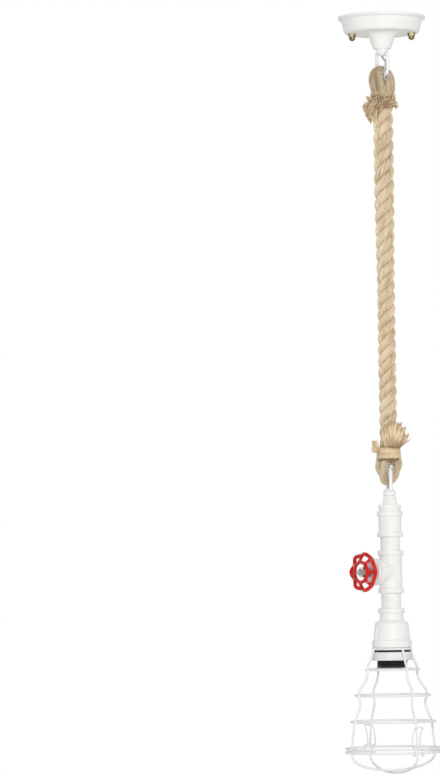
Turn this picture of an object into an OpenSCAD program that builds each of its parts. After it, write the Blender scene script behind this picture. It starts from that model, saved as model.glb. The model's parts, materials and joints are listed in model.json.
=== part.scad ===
// Pendant lamp: ceiling canopy, laid rope, body of pipe fittings with a valve wheel, and a wire cage.
// Millimetres, +Z up. The origin is on the ceiling at the canopy's axis, and the lamp hangs along -Z.

/* [Canopy] */
// Outside diameter at the ceiling
canopy_d = 119; // [112:1:126]
// Depth of the cup down to its bottom plate
canopy_h = 22.5; // [20:0.5:26]
// Sheet thickness
sheet = 1; // [0.8:0.1:1.4]
// Height of the straight lip
lip_h = 3.2; // [2:0.2:5]
// Step from the lip in to the side wall
lip_step = 4.4; // [3:0.2:6]
// How far the side wall draws in over its height
wall_draft = 3.6; // [2:0.2:5]
// Diameter of the funnel below its flare
funnel_top_d = 34; // [30:1:38]
// Diameter of the funnel's lower end
funnel_end_d = 24.4; // [23:0.2:28]
// Drop of the funnel below the plate
funnel_drop = 21.2; // [18:0.2:26]
// Distance between the two canopy studs
stud_spacing = 81; // [79:1:86]
// Diameter of a canopy stud
stud_d = 4; // [3:0.5:4.5]
// Cap nut across flats
cap_nut_af = 9; // [8:0.5:10]
// Height of a cap nut
cap_nut_h = 10; // [9:0.5:12]

/* [Ceiling crossbar] */
// Length of the crossbar
crossbar_l = 98; // [96:1:101]
// Width of the crossbar
crossbar_w = 18; // [16:1:24]
// Thickness of the crossbar
crossbar_t = 1.5; // [1:0.1:2.5]
// Distance between the two screw slots
slot_spacing = 54; // [50:1:55]
// Length of a screw slot, end to end
slot_l = 18; // [12:1:19]
// Width of a screw slot
slot_w = 4.5; // [4:0.1:5.5]
// Length of the terminal block
block_l = 26; // [20:1:30]
// Height of the terminal block
block_h = 11; // [8:0.5:14]

/* [Hangers and bails] */
// Diameter of a domed hanger
hanger_d = 16.8; // [16:0.2:17.4]
// Height of a domed hanger
hanger_h = 10.6; // [10.2:0.2:13]
// Distance from a hanger's tip to its pin axis
pin_drop = 4; // [3.6:0.1:4.4]
// Diameter of the hollow hanger screws
screw_d = 13; // [12:0.2:13.4]
// Bore of the hollow hanger screws
screw_bore = 8; // [6.5:0.5:9]
// Wire diameter of a bail
bail_wire = 5; // [4.4:0.1:5.2]
// Distance between a bail's limbs, centre to centre
bail_spread = 23; // [22.8:0.2:25]
// Distance from a bail's pins to the middle of its bar
bail_len = 31; // [30:0.5:36]
// Diameter of a bail's pins
pin_d = 2.8; // [2.2:0.1:3]
// Turn of the upper bail about the vertical
upper_bail_turn = -50; // [-90:5:0]
// Turn of the lower bail about the vertical
lower_bail_turn = -80; // [-90:5:0]

/* [Rope] */
// Diameter of the laid rope
rope_d = 25; // [22:0.5:26]
// Length of the laid rope between its eyes
rope_len = 500; // [300:10:1500]
// Diameter of the supply cable in the rope's core
core_d = 5; // [4:0.2:6]
// Strand diameter in the upper eye
upper_strand_d = 13; // [11:0.5:13]
// Width of the upper eye
upper_eye_w = 36; // [32.5:0.5:38]
// Distance from the upper bail's bar to the rope's top
upper_eye_len = 23; // [18:0.5:30]
// Strand diameter in the lower eye
lower_strand_d = 12; // [11:0.5:12]
// Width of the lower eye
lower_eye_w = 35.6; // [35:0.2:37]
// Distance from the rope's end to the lower bail's bar
lower_eye_len = 11; // [9:0.5:16]
// Strand diameter of the slack loop under the lower eye
slack_strand_d = 10; // [8:0.5:10]
// Depth of the slack loop below the lower bail's bar
slack_depth = 24; // [23:0.5:24.5]
// Height of the lower binding
binding_h = 20; // [14:1:26]
// Outside diameter of the lower binding
binding_d = 35; // [32:0.5:37]
// Outside diameter of the upper binding
collar_d = 33; // [30:0.5:35]
// Height of the upper binding
collar_h = 10; // [6:1:14]
// Height of the frayed tuft under the upper binding
tuft_h = 38; // [24:1:44]
// Reach of the tuft from the rope's axis
tuft_reach = 27; // [22:0.5:30]
// Height of the tassel over the lower binding
tassel_h = 33; // [24:1:40]

/* [Pipe fittings] */
// Outside diameter of the pipe
pipe_d = 26.9; // [26:0.1:27.2]
// Wall of the pipe
pipe_wall = 2.6; // [2:0.1:3.2]
// Length of pipe screwed into a fitting
pipe_grip = 12.5; // [10:0.5:13]
// Diameter of a fitting's body
fitting_d = 31; // [30.4:0.1:32]
// Diameter of a fitting's end bands
band_d = 34.8; // [33.4:0.1:36]
// Height of a fitting's end bands
band_h = 7.2; // [6:0.2:9]
// Height of the ring nut under the lower hanger
ring_nut_h = 3.5; // [2.5:0.1:5]
// Thread that shows over the ring nut
thread_show = 1.7; // [1:0.1:4]
// Height of the bush's tapered hexagon
hex_h = 8.1; // [6:0.1:12]
// Height of the bush's round flange
flange_h = 8.7; // [6:0.1:12]
// Height of the coupling
coupling_h = 34.7; // [32:0.1:44]
// Pipe that shows over the tee
upper_gap = 18.5; // [8:0.5:60]
// Height of the tee
tee_h = 57.8; // [54:0.2:70]
// Pipe that shows under the tee
lower_gap = 20.3; // [8:0.1:60]
// Height of the reducer
reducer_h = 53.2; // [52:0.2:64]
// Diameter of the reducer's bell
bell_d = 49.2; // [48:0.2:51]
// Diameter of the band round the bell's mouth
bell_band_d = 53.5; // [52:0.1:56]
// Height of the band round the bell's mouth
bell_band_h = 11; // [8:0.5:14]
// Diameter of the band round the reducer's top
reducer_band_d = 36.4; // [34.8:0.2:38]
// Turn of the tee's branch about the vertical
tee_turn = 40; // [0:1:90]

/* [Valve wheel] */
// Reach of the tee's branch from the pipe's axis
branch_reach = 29; // [27:0.5:34]
// Diameter of the branch's end band
branch_band_d = 36; // [33.5:0.2:38]
// Reach of the wheel's inner ring from the pipe's axis
wheel_reach = 48; // [46:0.5:60]
// Outside diameter of the wheel
wheel_d = 55.4; // [53:0.2:58]
// Mean diameter of the wheel's inner ring
wheel_ring_d = 32.4; // [31:0.2:34]
// Thickness of the wheel's bars
wheel_bar = 4.4; // [4:0.1:5]
// Number of lobes on the wheel's rim
lobes = 8; // [7:1:9]
// Forward lean of the lobes
lobe_tilt = 15; // [0:1:20]
// Turn of the wheel at rest
wheel_turn = -5; // [-45:1:45]
// Number of spokes
spokes = 4; // [3:1:6]
// Diameter of the spindle
spindle_d = 8; // [6:0.5:9]
// Wheel nut across flats
wheel_nut_af = 10.8; // [9:0.2:13]

/* [Lampholder] */
// Outside diameter of the threaded skirt
holder_d = 41.6; // [40:0.1:42]
// How far the lampholder reaches below the reducer
holder_show = 27.2; // [24:0.2:28]
// Length of the threaded skirt
skirt_l = 38; // [34:0.5:42]
// Bore of the screw shell that takes the bulb
shell_bore = 26.6; // [26.4:0.1:27]
// Length of the screw shell
shell_l = 24; // [20:0.5:26]
// Diameter of the shade ring
shade_ring_d = 54.4; // [53:0.2:58]
// Height of the shade ring
shade_ring_h = 11.3; // [8:0.1:11.5]
// Diameter of the lampholder's flange
holder_flange_d = 50.5; // [48:0.1:51]
// Height of the lampholder's flange
holder_flange_h = 2.4; // [1.6:0.1:3]
// Diameter of the hollow stem over the lampholder
stem_d = 10; // [8:0.5:11]

/* [Cage] */
// Turn of the cage about the vertical
cage_turn = 30; // [0:1:90]
// Wire diameter of the cage's rings
ring_wire = 3; // [2.6:0.1:3.2]
// Wire diameter of the cage's ribs
rib_wire = 3.2; // [2.6:0.1:3.6]
// Mean diameter of the top ring
top_ring_d = 51.5; // [50.5:0.1:52]
// Mean diameter of the first ring
ring_1_d = 71.4; // [68:0.2:74]
// Depth of the first ring below the reducer
ring_1_drop = 29.7; // [29:0.1:32]
// Mean diameter of the second ring
ring_2_d = 100.8; // [96:0.2:106]
// Depth of the second ring below the reducer
ring_2_drop = 64.5; // [62:0.5:68]
// Mean diameter of the third ring
ring_3_d = 113.8; // [110:0.2:118]
// Depth of the third ring below the reducer
ring_3_drop = 100; // [96:0.5:104]
// Mean diameter of the rim and of the guard's ring
rim_d = 128.8; // [124:0.2:134]
// Depth of the rim below the reducer
rim_drop = 136; // [130:0.5:142]
// Distance from the rim down to the guard's ring
guard_gap = 5; // [4.8:0.1:6]
// Depth of the guard's bows below its ring
guard_depth = 28; // [22:0.5:34]
// Wire diameter of the clips
clip_wire = 2; // [1.6:0.1:2.2]
// Distance between a clip's legs
clip_w = 12; // [9:0.5:16]

/* [Hidden] */
$fn = 72;
// Radial room between pieces that screw or slide into each other
fit = 0.1;
// Radial room of a turning pin
pin_fit = 0.06;
// Room between pieces that only lie beside each other
gap = 0.3;
// Room between wires that are welded where they cross
weld = 0.1;
// How far a cut runs past the face that it opens
past = 1;
// Thread that stands out of a nut
nut_show = 2;
white = [0.93, 0.92, 0.89];
hemp = [0.72, 0.58, 0.40];
twine = [0.66, 0.51, 0.33];
red = [0.70, 0.05, 0.05];
steel = [0.70, 0.70, 0.70];
brass = [0.62, 0.46, 0.20];
black = [0.07, 0.07, 0.08];
grey = [0.62, 0.64, 0.64];
porcelain = [0.90, 0.88, 0.82];

// Heights from the ceiling down
z_plate = -canopy_h;
z_funnel = z_plate - funnel_drop;
z_upper_pin = z_funnel - hanger_h + pin_drop;
z_upper_bar = z_upper_pin - bail_len;
z_rope_top = z_upper_bar - upper_eye_len;
z_rope_end = z_rope_top - rope_len;
z_lower_bar = z_rope_end - lower_eye_len;
z_lower_pin = z_lower_bar - bail_len;
z_hanger = z_lower_pin + pin_drop - hanger_h;
z_ring_nut = z_hanger - thread_show;
z_bush = z_ring_nut - ring_nut_h;
z_coupling = z_bush - hex_h - flange_h;
z_tee = z_coupling - coupling_h - upper_gap;
z_branch = z_tee - tee_h / 2;
z_reducer = z_tee - tee_h - lower_gap;
z_bell = z_reducer - reducer_h;

// Canopy
stud_head_h = 2;
stud_head_d = 7;
plate_corner = 2;
flare_r = 27;
flare_drop = 8;
flare_pull = 6;
cap_hex_h = 4;
stud_in_nut = 7.5;
funnel_nut_af = 17;
funnel_nut_h = 4;
block_w = 15;

// Hangers
pin_wall = 0.7;
seat_depth = hanger_h - pin_drop - pin_d / 2 - pin_wall;
cable_hole_d = 6;
pin_in = 4.6;

// Rope ends
binding_taper = 3;
tuft_lean = 3;
tuft_top_out = 8;
tassel_turn = -30;
tassel_at = 11;
tassel_lean = 12;
tassel_foot_d = 10;
tassel_top_d = 20;
stub_at = 16;
stub_foot_d = 10;
stub_top_d = 12;

// Pipe fittings
edge = 0.6;
bore_d = pipe_d + 2 * fit;
way_d = pipe_d - 2 * pipe_wall;
band_ease = 1.4;
rib_w = 4;
rib_out = 1.1;
rib_stop = 1.5;
coupling_rib_turn = -139;
reducer_rib_turn = 165;
hex_turn = 23;
hex_top_af = 16.4;
hex_foot_af = 20;
flange_d = 31.2;
flange_foot_d = 29.4;
flange_step = 4.6;
ring_nut_d = 17.6;
screw_in_bush = 14;
neck_d = 32;
neck_h = 10.5;
neck_fillet = 2;
shoulder_h = 5.5;
shoulder_in = 4.5;
bell_top_d = 46;
bell_roof = 2;
bridge_h = 3;

// Valve
plug_flange_h = 3;
plug_flange_d = 30;
plug_boss_d = 15;
plug_boss_h = 4;
hub_d = 14;
hub_h = 7;
stud_end_d = 6;
washer_h = 1.2;
washer_d = 11;
wheel_nut_h = 5.5;
spindle_end = 3;
spindle_head_d = 12;
spindle_head_h = 2;
spoke_foot_d = 5.6;
spoke_end_d = 3.8;
ring_bar = 4.6;
lobe_share = 0.64;

// Lampholder
stem_bore = 6.4;
stem_nut_af = 14;
stem_nut_h = 4;
cap_h = 14;
cap_inset = 4;
cap_rim_h = 5.6;
cap_shoulder_h = 11.2;
cap_neck_out = 4;
skirt_wall = 2.6;
skirt_roof = 3;
thread_pitch = 2.6;
thread_turns = 8;
thread_depth = 0.9;
block_d = 30;
contact_block_h = 9;
contact_well_d = 20;
contact_well_h = 3;
contact_d = 8;
contact_h = 2.5;
shell_wall = 0.6;
shade_edge = 1;
z_holder = z_bell - holder_show;
z_skirt = z_holder + skirt_l;

// Cage
clip_turn = cage_turn + 90;
z_top_ring = z_bell - ring_wire / 2 - gap;
z_flange = z_top_ring - ring_wire / 2 - gap - holder_flange_h;
z_rim = z_bell - rim_drop;
z_guard = z_rim - guard_gap;
rib_out_of_ring = (ring_wire + rib_wire) / 2 + weld;
bow_steps = 20;
bow_fullness = 0.8;
clip_room = 0.4;

// Wire routes beside the bails: along the bar, across it, and up from the bar, for one of two wires
lead_d = 1.8;
lead_below_tip = 1;
upper_route = [
    [0.5, 1.1, 27.7], [0.6, 1.1, 26.1], [3.6, 1.3, 22.6], [7, 1.2, 19.3], [7.8, 1.2, 14.3], [7.9, 2.6, 9.8],
    [8, 3.9, 5.3], [8.2, 4, 1.3], [7.6, 2.2, -3.7], [4, 1.4, -9.7], [1.2, 1.2, -15.7], [1.1, 1.1, -22.9]];
lower_route = [
    [1.1, 1.1, 10.8], [1.5, 1.4, 8.3], [5, 3.2, 4.3], [7.6, 4, -0.2], [8, 3.9, -5.2], [7.9, 2.6, -9.7],
    [7.9, 1.3, -14.7], [7.9, 1.2, -19.7], [6, 1.2, -23.8], [2.2, 1.1, -25.4],
    [0.6, 1, -26.5], [0.5, 1, -27.6]];

// Curves and wires

function bezier(a, b, c, d, n) = [
    for (i = [0:n])
        let (t = i / n, s = 1 - t)
        s * s * s * a + 3 * s * s * t * b + 3 * s * t * t * c + t * t * t * d];

function between(a, b, c, d, t) =
    0.5 * (2 * b + (c - a) * t + (2 * a - 5 * b + 4 * c - d) * t * t + (3 * b - a - 3 * c + d) * t * t * t);

// A smooth curve through hand-set points
function smooth(p, n) = let (last = len(p) - 1) concat(
    [for (i = [0:last - 1], k = [0:n - 1])
        between(p[max(i - 1, 0)], p[i], p[i + 1], p[min(i + 2, last)], k / n)],
    [p[last]]);

function unit(v) = v / norm(v);
function across(v, t) = unit(v - (v * t) * t);
function heading(p, i) = unit(p[min(i + 1, len(p) - 1)] - p[max(i - 1, 0)]);

// A round wire along a path of points
module wire(path, d, sides = 8) {
    last = len(path) - 1;
    start = heading(path, 0);
    first = across(abs(start.z) < 0.9 ? [0, 0, 1] : [1, 0, 0], start);
    sides_u = [for (i = 0, u = first; i <= last;
        i = i + 1, u = i <= last ? across(u, heading(path, i)) : u) u];
    rim = [for (i = [0:last], k = [0:sides - 1])
        let (u = sides_u[i], v = cross(heading(path, i), u), a = 360 * k / sides)
        path[i] + d / 2 * (cos(a) * u + sin(a) * v)];
    skin = [for (i = [0:last - 1], k = [0:sides - 1])
        let (a = i * sides + k, b = i * sides + (k + 1) % sides)
        each [[a, a + sides, b + sides], [a, b + sides, b]]];
    ends = [[for (k = [0:sides - 1]) k], [for (k = [sides - 1:-1:0]) last * sides + k]];
    polyhedron(rim, concat(skin, ends), convexity = 8);
}

module ring(mean_d, d) {
    rotate_extrude()
        translate([mean_d / 2, 0])
            circle(d = d, $fn = 24);
}

module tube(d, bore, h) {
    difference() {
        cylinder(d = d, h = h);
        translate([0, 0, -1])
            cylinder(d = bore, h = h + 2);
    }
}

module hexagon(af, h) {
    cylinder(d = af / cos(30), h = h, $fn = 6);
}

module hex_nut(af, bore, h) {
    difference() {
        hexagon(af, h);
        translate([0, 0, -1])
            cylinder(d = bore, h = h + 2);
    }
}

// Canopy

function canopy_line(t) = concat(
    [[canopy_d / 2 - t, 0], [canopy_d / 2 - t, -lip_h + t / 2]],
    [[canopy_d / 2 - lip_step - t, -lip_h - lip_step / 2 + t / 2]],
    [[canopy_d / 2 - lip_step - wall_draft - t, z_plate + plate_corner + t / 2]],
    [[canopy_d / 2 - lip_step - wall_draft - plate_corner - t / 2, z_plate + t]],
    bezier([flare_r, z_plate + t], [flare_r - flare_pull, z_plate + t],
        [funnel_top_d / 2 - t + 1, z_plate - flare_drop / 2 + t],
        [funnel_top_d / 2 - t, z_plate - flare_drop + t], 5),
    [[funnel_end_d / 2 - t, z_funnel + t], [screw_d / 2 + fit, z_funnel + t]]);

function backwards(p) = [for (i = [len(p) - 1:-1:0]) p[i]];

module at_studs() {
    for (side = [-1, 1])
        translate([side * stud_spacing / 2, 0, 0])
            children();
}

module canopy_shell() {
    color(white)
        difference() {
            rotate_extrude()
                polygon(concat(canopy_line(0), backwards(canopy_line(sheet))));
            at_studs()
                translate([0, 0, z_plate - 1])
                    cylinder(d = stud_d + 4 * fit, h = sheet + 2);
        }
}

module slot(length, width, h) {
    for (end = [-1, 1])
        translate([end * (length - width) / 2, 0, 0])
            cylinder(d = width, h = h);
    translate([-(length - width) / 2, -width / 2, 0])
        cube([length - width, width, h]);
}

module mounting_crossbar() {
    color(steel)
        translate([0, 0, -crossbar_t])
            difference() {
                slot(crossbar_l, crossbar_w, crossbar_t);
                for (side = [-1, 1])
                    translate([side * slot_spacing / 2, 0, -1])
                        slot(slot_l, slot_w, crossbar_t + 2);
                at_studs()
                    translate([0, 0, -1])
                        cylinder(d = stud_d + 2 * fit, h = crossbar_t + 2);
            }
}

module canopy_studs() {
    stud_l = canopy_h + stud_in_nut;
    color(steel)
        at_studs() {
            translate([0, 0, -stud_l])
                cylinder(d = stud_d, h = stud_l);
            translate([0, 0, -crossbar_t - stud_head_h])
                cylinder(d = stud_head_d, h = stud_head_h);
        }
}

module cap_nut() {
    dome_d = cap_nut_af;
    difference() {
        union() {
            translate([0, 0, -cap_hex_h])
                hexagon(cap_nut_af, cap_hex_h);
            translate([0, 0, -cap_nut_h + dome_d / 2])
                cylinder(d = dome_d, h = cap_nut_h - dome_d / 2 - cap_hex_h / 2);
            translate([0, 0, -cap_nut_h + dome_d / 2])
                sphere(d = dome_d);
        }
        translate([0, 0, -stud_in_nut - gap])
            cylinder(d = stud_d + 2 * fit, h = cap_nut_h);
    }
}

module cap_nuts() {
    color(brass)
        at_studs()
            translate([0, 0, z_plate])
                cap_nut();
}

module terminal_block() {
    color(white)
        translate([-block_l / 2, -block_w / 2, -crossbar_t - block_h])
            difference() {
                cube([block_l, block_w, block_h]);
                for (way = [1, 3])
                    translate([way * block_l / 4, -1, block_h / 2])
                        rotate([-90, 0, 0])
                            cylinder(d = block_h / 2.5, h = block_w + 2);
            }
}

module canopy_lead() {
    foot = z_funnel - hanger_h + lead_below_tip;
    color(grey)
        translate([0, 0, foot])
            cylinder(d = core_d, h = -crossbar_t - block_h - foot);
}

module hanger_nipple_top() {
    color(steel)
        translate([0, 0, z_funnel - seat_depth])
            tube(screw_d, screw_bore, seat_depth + sheet + funnel_nut_h + nut_show);
}

module funnel_locknut() {
    color(steel)
        translate([0, 0, z_funnel + sheet])
            hex_nut(funnel_nut_af, screw_d + 2 * fit, funnel_nut_h);
}

// Hangers and bails

// A domed cap with its base at zero and its tip up, and the pin holes along X
module hanger() {
    r = hanger_d / 2;
    difference() {
        union() {
            cylinder(r = r, h = hanger_h - r);
            intersection() {
                translate([0, 0, hanger_h - r])
                    sphere(r = r);
                cylinder(r = r + 1, h = hanger_h + 1);
            }
        }
        translate([0, 0, -1])
            cylinder(d = screw_d + 2 * fit, h = seat_depth + 1);
        translate([0, 0, -1])
            cylinder(d = cable_hole_d, h = hanger_h + 2);
        for (side = [0, 180])
            rotate([0, 0, side])
                translate([pin_in - gap, 0, hanger_h - pin_drop])
                    rotate([0, 90, 0])
                        cylinder(d = pin_d + 2 * pin_fit, h = r);
    }
}

// A wire bail that stands up from its pin axis, with its pins along X
module bail() {
    half = bail_spread / 2;
    for (side = [0, 180])
        rotate([0, 0, side]) {
            translate([half, 0, 0])
                cylinder(d = bail_wire, h = bail_len - half);
            translate([half, 0, 0])
                sphere(d = bail_wire);
            translate([pin_in, 0, 0])
                rotate([0, 90, 0])
                    cylinder(d = pin_d, h = half - pin_in);
        }
    translate([0, 0, bail_len - half])
        rotate([90, 0, 0])
            rotate_extrude(angle = 180)
                translate([half, 0])
                    circle(d = bail_wire, $fn = 32);
}

module upper_hanger() {
    color(white)
        translate([0, 0, z_funnel])
            rotate([0, 0, upper_bail_turn])
                rotate([180, 0, 0])
                    hanger();
}

module upper_bail() {
    color(white)
        translate([0, 0, z_upper_pin])
            rotate([0, 0, upper_bail_turn])
                rotate([180, 0, 0])
                    bail();
}

module lower_bail() {
    color(white)
        translate([0, 0, z_lower_pin])
            rotate([0, 0, lower_bail_turn])
                bail();
}

module lower_hanger() {
    color(white)
        translate([0, 0, z_hanger])
            rotate([0, 0, lower_bail_turn])
                hanger();
}

// Rope

// Half a turn of strand that opens upwards, with two straight legs of the given height
module strand_loop(mean_d, d, leg) {
    rotate([0, 0, 90])
        rotate([90, 0, 0])
            rotate([0, 0, 180])
                rotate_extrude(angle = 180)
                    translate([mean_d / 2, 0])
                        circle(d = d, $fn = 48);
    for (side = [-1, 1])
        translate([0, side * mean_d / 2, 0])
            cylinder(d = d, h = leg, $fn = 48);
}

module upper_eye() {
    mean_d = upper_eye_w - upper_strand_d;
    sink = mean_d / 2 - (upper_strand_d + bail_wire) / 2 - gap;
    color(hemp)
        translate([0, 0, z_upper_bar - sink])
            rotate([0, 0, upper_bail_turn])
                rotate([180, 0, 0])
                    strand_loop(mean_d, upper_strand_d, upper_eye_len - sink);
}

module lower_eye() {
    mean_d = lower_eye_w - lower_strand_d;
    lift = mean_d / 2 - (lower_strand_d + bail_wire) / 2 - gap;
    slack_mean_d = mean_d - lower_strand_d / 2;
    slack_sink = slack_depth - (slack_mean_d + slack_strand_d) / 2;
    color(hemp)
        translate([0, 0, z_lower_bar])
            rotate([0, 0, lower_bail_turn]) {
                translate([0, 0, lift])
                    strand_loop(mean_d, lower_strand_d, lower_eye_len - lift);
                translate([0, 0, -slack_sink])
                    strand_loop(slack_mean_d, slack_strand_d, slack_sink + lift);
            }
}

module twin_leads(route, z, turn) {
    color(grey)
        translate([0, 0, z])
            rotate([0, 0, turn])
                for (side = [-1, 1])
                    wire([for (p = smooth(route, 2)) [p.x, side * p.y, p.z]], lead_d);
}

module upper_leads() {
    twin_leads(upper_route, z_upper_bar, upper_bail_turn);
}

module lower_leads() {
    twin_leads(lower_route, z_lower_bar, lower_bail_turn);
}

module rope() {
    color(hemp)
        translate([0, 0, z_rope_end])
            tube(rope_d, core_d + 2 * gap, rope_len);
}

module core_cable() {
    color(grey)
        translate([0, 0, z_rope_end])
            cylinder(d = core_d, h = rope_len);
}

module rope_room(h) {
    translate([0, 0, -1])
        cylinder(d = rope_d + 2 * gap, h = h + 2);
}

module upper_binding() {
    color(twine)
        translate([0, 0, z_rope_top - collar_h])
            difference() {
                cylinder(d1 = collar_d, d2 = collar_d - binding_taper, h = collar_h);
                rope_room(collar_h);
            }
}

module upper_tuft() {
    color(hemp)
        translate([0, 0, z_rope_top - collar_h - tuft_h])
            difference() {
                translate([-tuft_lean, 0, 0])
                    cylinder(r1 = tuft_reach - tuft_lean, r2 = rope_d / 2 + tuft_top_out, h = tuft_h);
                rope_room(tuft_h);
            }
}

module lower_binding() {
    color(twine)
        translate([0, 0, z_rope_end])
            difference() {
                cylinder(d1 = binding_d, d2 = binding_d - binding_taper, h = binding_h);
                rope_room(binding_h);
            }
}

module lower_tassel() {
    color(hemp)
        translate([0, 0, z_rope_end + binding_h])
            difference() {
                union() {
                    rotate([0, 0, tassel_turn])
                        translate([tassel_at, 0, 0])
                            rotate([0, tassel_lean, 0])
                                cylinder(d1 = tassel_foot_d, d2 = tassel_top_d, h = tassel_h);
                    translate([-stub_at, 0, 0])
                        cylinder(d1 = stub_foot_d, d2 = stub_top_d, h = tassel_h / 3);
                }
                rope_room(tassel_h + 2);
                translate([0, 0, -binding_h])
                    cylinder(d = binding_d * 2, h = binding_h);
            }
}

// Pipe fittings

module hanger_nipple() {
    h = seat_depth + thread_show + ring_nut_h + screw_in_bush;
    color(white)
        translate([0, 0, z_hanger + seat_depth - h])
            tube(screw_d, screw_bore, h);
}

module hanger_locknut() {
    color(white)
        translate([0, 0, z_bush])
            tube(ring_nut_d, screw_d + 2 * fit, ring_nut_h);
}

module hex_bushing() {
    color(white)
        translate([0, 0, z_coupling])
            difference() {
                union() {
                    translate([0, 0, flange_h])
                        rotate([0, 0, hex_turn])
                            cylinder(d1 = hex_foot_af / cos(30), d2 = hex_top_af / cos(30), h = hex_h, $fn = 6);
                    cylinder(d = flange_foot_d, h = flange_h);
                    translate([0, 0, flange_h - flange_step])
                        cylinder(d = flange_d, h = flange_step);
                    translate([0, 0, -pipe_grip])
                        cylinder(d = pipe_d, h = pipe_grip);
                }
                translate([0, 0, flange_h + hex_h - screw_in_bush])
                    cylinder(d = screw_d + 2 * fit, h = screw_in_bush + 1);
                translate([0, 0, -pipe_grip - 1])
                    cylinder(d = screw_bore, h = pipe_grip + flange_h + hex_h);
            }
}

// Outline of a fitting with an end band at each end, from its foot up
module banded_sleeve(h, d, ends_d, ends_h) {
    rotate_extrude()
        polygon([
            [0, 0], [ends_d / 2 - edge, 0], [ends_d / 2, edge], [ends_d / 2, ends_h - band_ease],
            [d / 2, ends_h], [d / 2, h - ends_h], [ends_d / 2, h - ends_h + band_ease],
            [ends_d / 2, h - edge], [ends_d / 2 - edge, h], [0, h]]);
}

// Bores for a pipe in each end, with a narrower way between
module pipe_ways(h) {
    translate([0, 0, -1])
        cylinder(d = way_d, h = h + 2);
    translate([0, 0, -1])
        cylinder(d = bore_d, h = pipe_grip + gap + 1);
    translate([0, 0, h - pipe_grip - gap])
        cylinder(d = bore_d, h = pipe_grip + gap + 1);
}

module side_ribs(d, z, h, turn) {
    for (side = [0, 180])
        rotate([0, 0, turn + side])
            translate([0, -rib_w / 2, z])
                cube([d / 2 + rib_out, rib_w, h]);
}

module coupling() {
    color(white)
        translate([0, 0, z_coupling - coupling_h])
            rotate([0, 0, tee_turn])
                difference() {
                    union() {
                        banded_sleeve(coupling_h, fitting_d, band_d, band_h);
                        side_ribs(fitting_d, band_h / 2, coupling_h - band_h, coupling_rib_turn);
                    }
                    pipe_ways(coupling_h);
                }
}

module upper_nipple() {
    color(white)
        translate([0, 0, z_tee - pipe_grip])
            tube(pipe_d, way_d, upper_gap + 2 * pipe_grip);
}

module lower_nipple() {
    color(white)
        translate([0, 0, z_reducer - pipe_grip])
            tube(pipe_d, way_d, lower_gap + 2 * pipe_grip);
}

// Puts the children on the tee's branch: their Z axis runs out along it from the pipe's axis
module on_branch() {
    translate([0, 0, z_branch])
        rotate([0, 0, tee_turn])
            rotate([0, -90, 0])
                children();
}

module tee() {
    color(white)
        difference() {
            union() {
                translate([0, 0, z_tee - tee_h])
                    banded_sleeve(tee_h, fitting_d, band_d, band_h);
                on_branch() {
                    cylinder(d = fitting_d, h = branch_reach - 1);
                    translate([0, 0, branch_reach - band_h])
                        rotate_extrude()
                            polygon([
                                [0, -band_ease], [fitting_d / 2, -band_ease], [branch_band_d / 2, 0],
                                [branch_band_d / 2, band_h - edge], [branch_band_d / 2 - edge, band_h],
                                [0, band_h]]);
                }
            }
            translate([0, 0, z_tee - tee_h])
                pipe_ways(tee_h);
            on_branch() {
                cylinder(d = way_d, h = branch_reach + 1);
                translate([0, 0, branch_reach - pipe_grip - gap])
                    cylinder(d = bore_d, h = pipe_grip + gap + 1);
            }
        }
}

module reducer() {
    bell_r = bell_d / 2;
    top_r = bell_top_d / 2;
    band_r = reducer_band_d / 2;
    neck_r = neck_d / 2;
    neck_z = reducer_h - band_h - neck_h;
    shoulder_z = neck_z - shoulder_h;
    color(white)
        translate([0, 0, z_bell])
            rotate([0, 0, tee_turn])
                difference() {
                    union() {
                        rotate_extrude()
                            polygon(concat(
                                [[0, 0], [bell_band_d / 2 - edge, 0], [bell_band_d / 2, edge]],
                                [[bell_band_d / 2, bell_band_h - band_ease], [bell_r, bell_band_h]],
                                bezier([top_r, shoulder_z], [top_r, shoulder_z + shoulder_h / 2],
                                    [top_r - shoulder_in / 2, neck_z], [top_r - shoulder_in, neck_z], 6),
                                [[neck_r + neck_fillet, neck_z], [neck_r, neck_z + neck_fillet]],
                                [[neck_r, reducer_h - band_h], [band_r, reducer_h - band_h + band_ease]],
                                [[band_r, reducer_h - edge], [band_r - edge, reducer_h], [0, reducer_h]]));
                        intersection() {
                            side_ribs(bell_d, bell_band_h / 2, shoulder_z - rib_stop - bell_band_h / 2,
                                reducer_rib_turn);
                            cylinder(d1 = bell_d + 4 * rib_out, d2 = bell_top_d + rib_out, h = shoulder_z + 2);
                        }
                    }
                    translate([0, 0, -1])
                        cylinder(d = holder_d + 2 * gap, h = shoulder_z - bell_roof + past);
                    cylinder(d = way_d, h = reducer_h + 1);
                    translate([0, 0, reducer_h - pipe_grip - bridge_h - 2 * fit])
                        cylinder(d = bore_d, h = reducer_h);
                }
}

// Valve

module branch_plug() {
    color(white)
        on_branch()
            translate([0, 0, branch_reach])
                difference() {
                    union() {
                        translate([0, 0, -pipe_grip])
                            cylinder(d = pipe_d, h = pipe_grip);
                        cylinder(d = plug_flange_d, h = plug_flange_h);
                        cylinder(d = plug_boss_d, h = plug_flange_h + plug_boss_h);
                    }
                    translate([0, 0, -pipe_grip - 1])
                        cylinder(d = spindle_d + 2 * pin_fit, h = pipe_grip + plug_flange_h + plug_boss_h + 2);
                }
}

module spindle() {
    head = branch_reach - pipe_grip - gap - spindle_head_h;
    shoulder = wheel_reach - hub_h;
    tip = wheel_reach + washer_h + wheel_nut_h + spindle_end;
    color(steel)
        on_branch() {
            translate([0, 0, head])
                cylinder(d = spindle_head_d, h = spindle_head_h);
            translate([0, 0, head])
                cylinder(d = spindle_d, h = shoulder - head);
            translate([0, 0, head])
                cylinder(d = stud_end_d, h = tip - head);
        }
}

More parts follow.
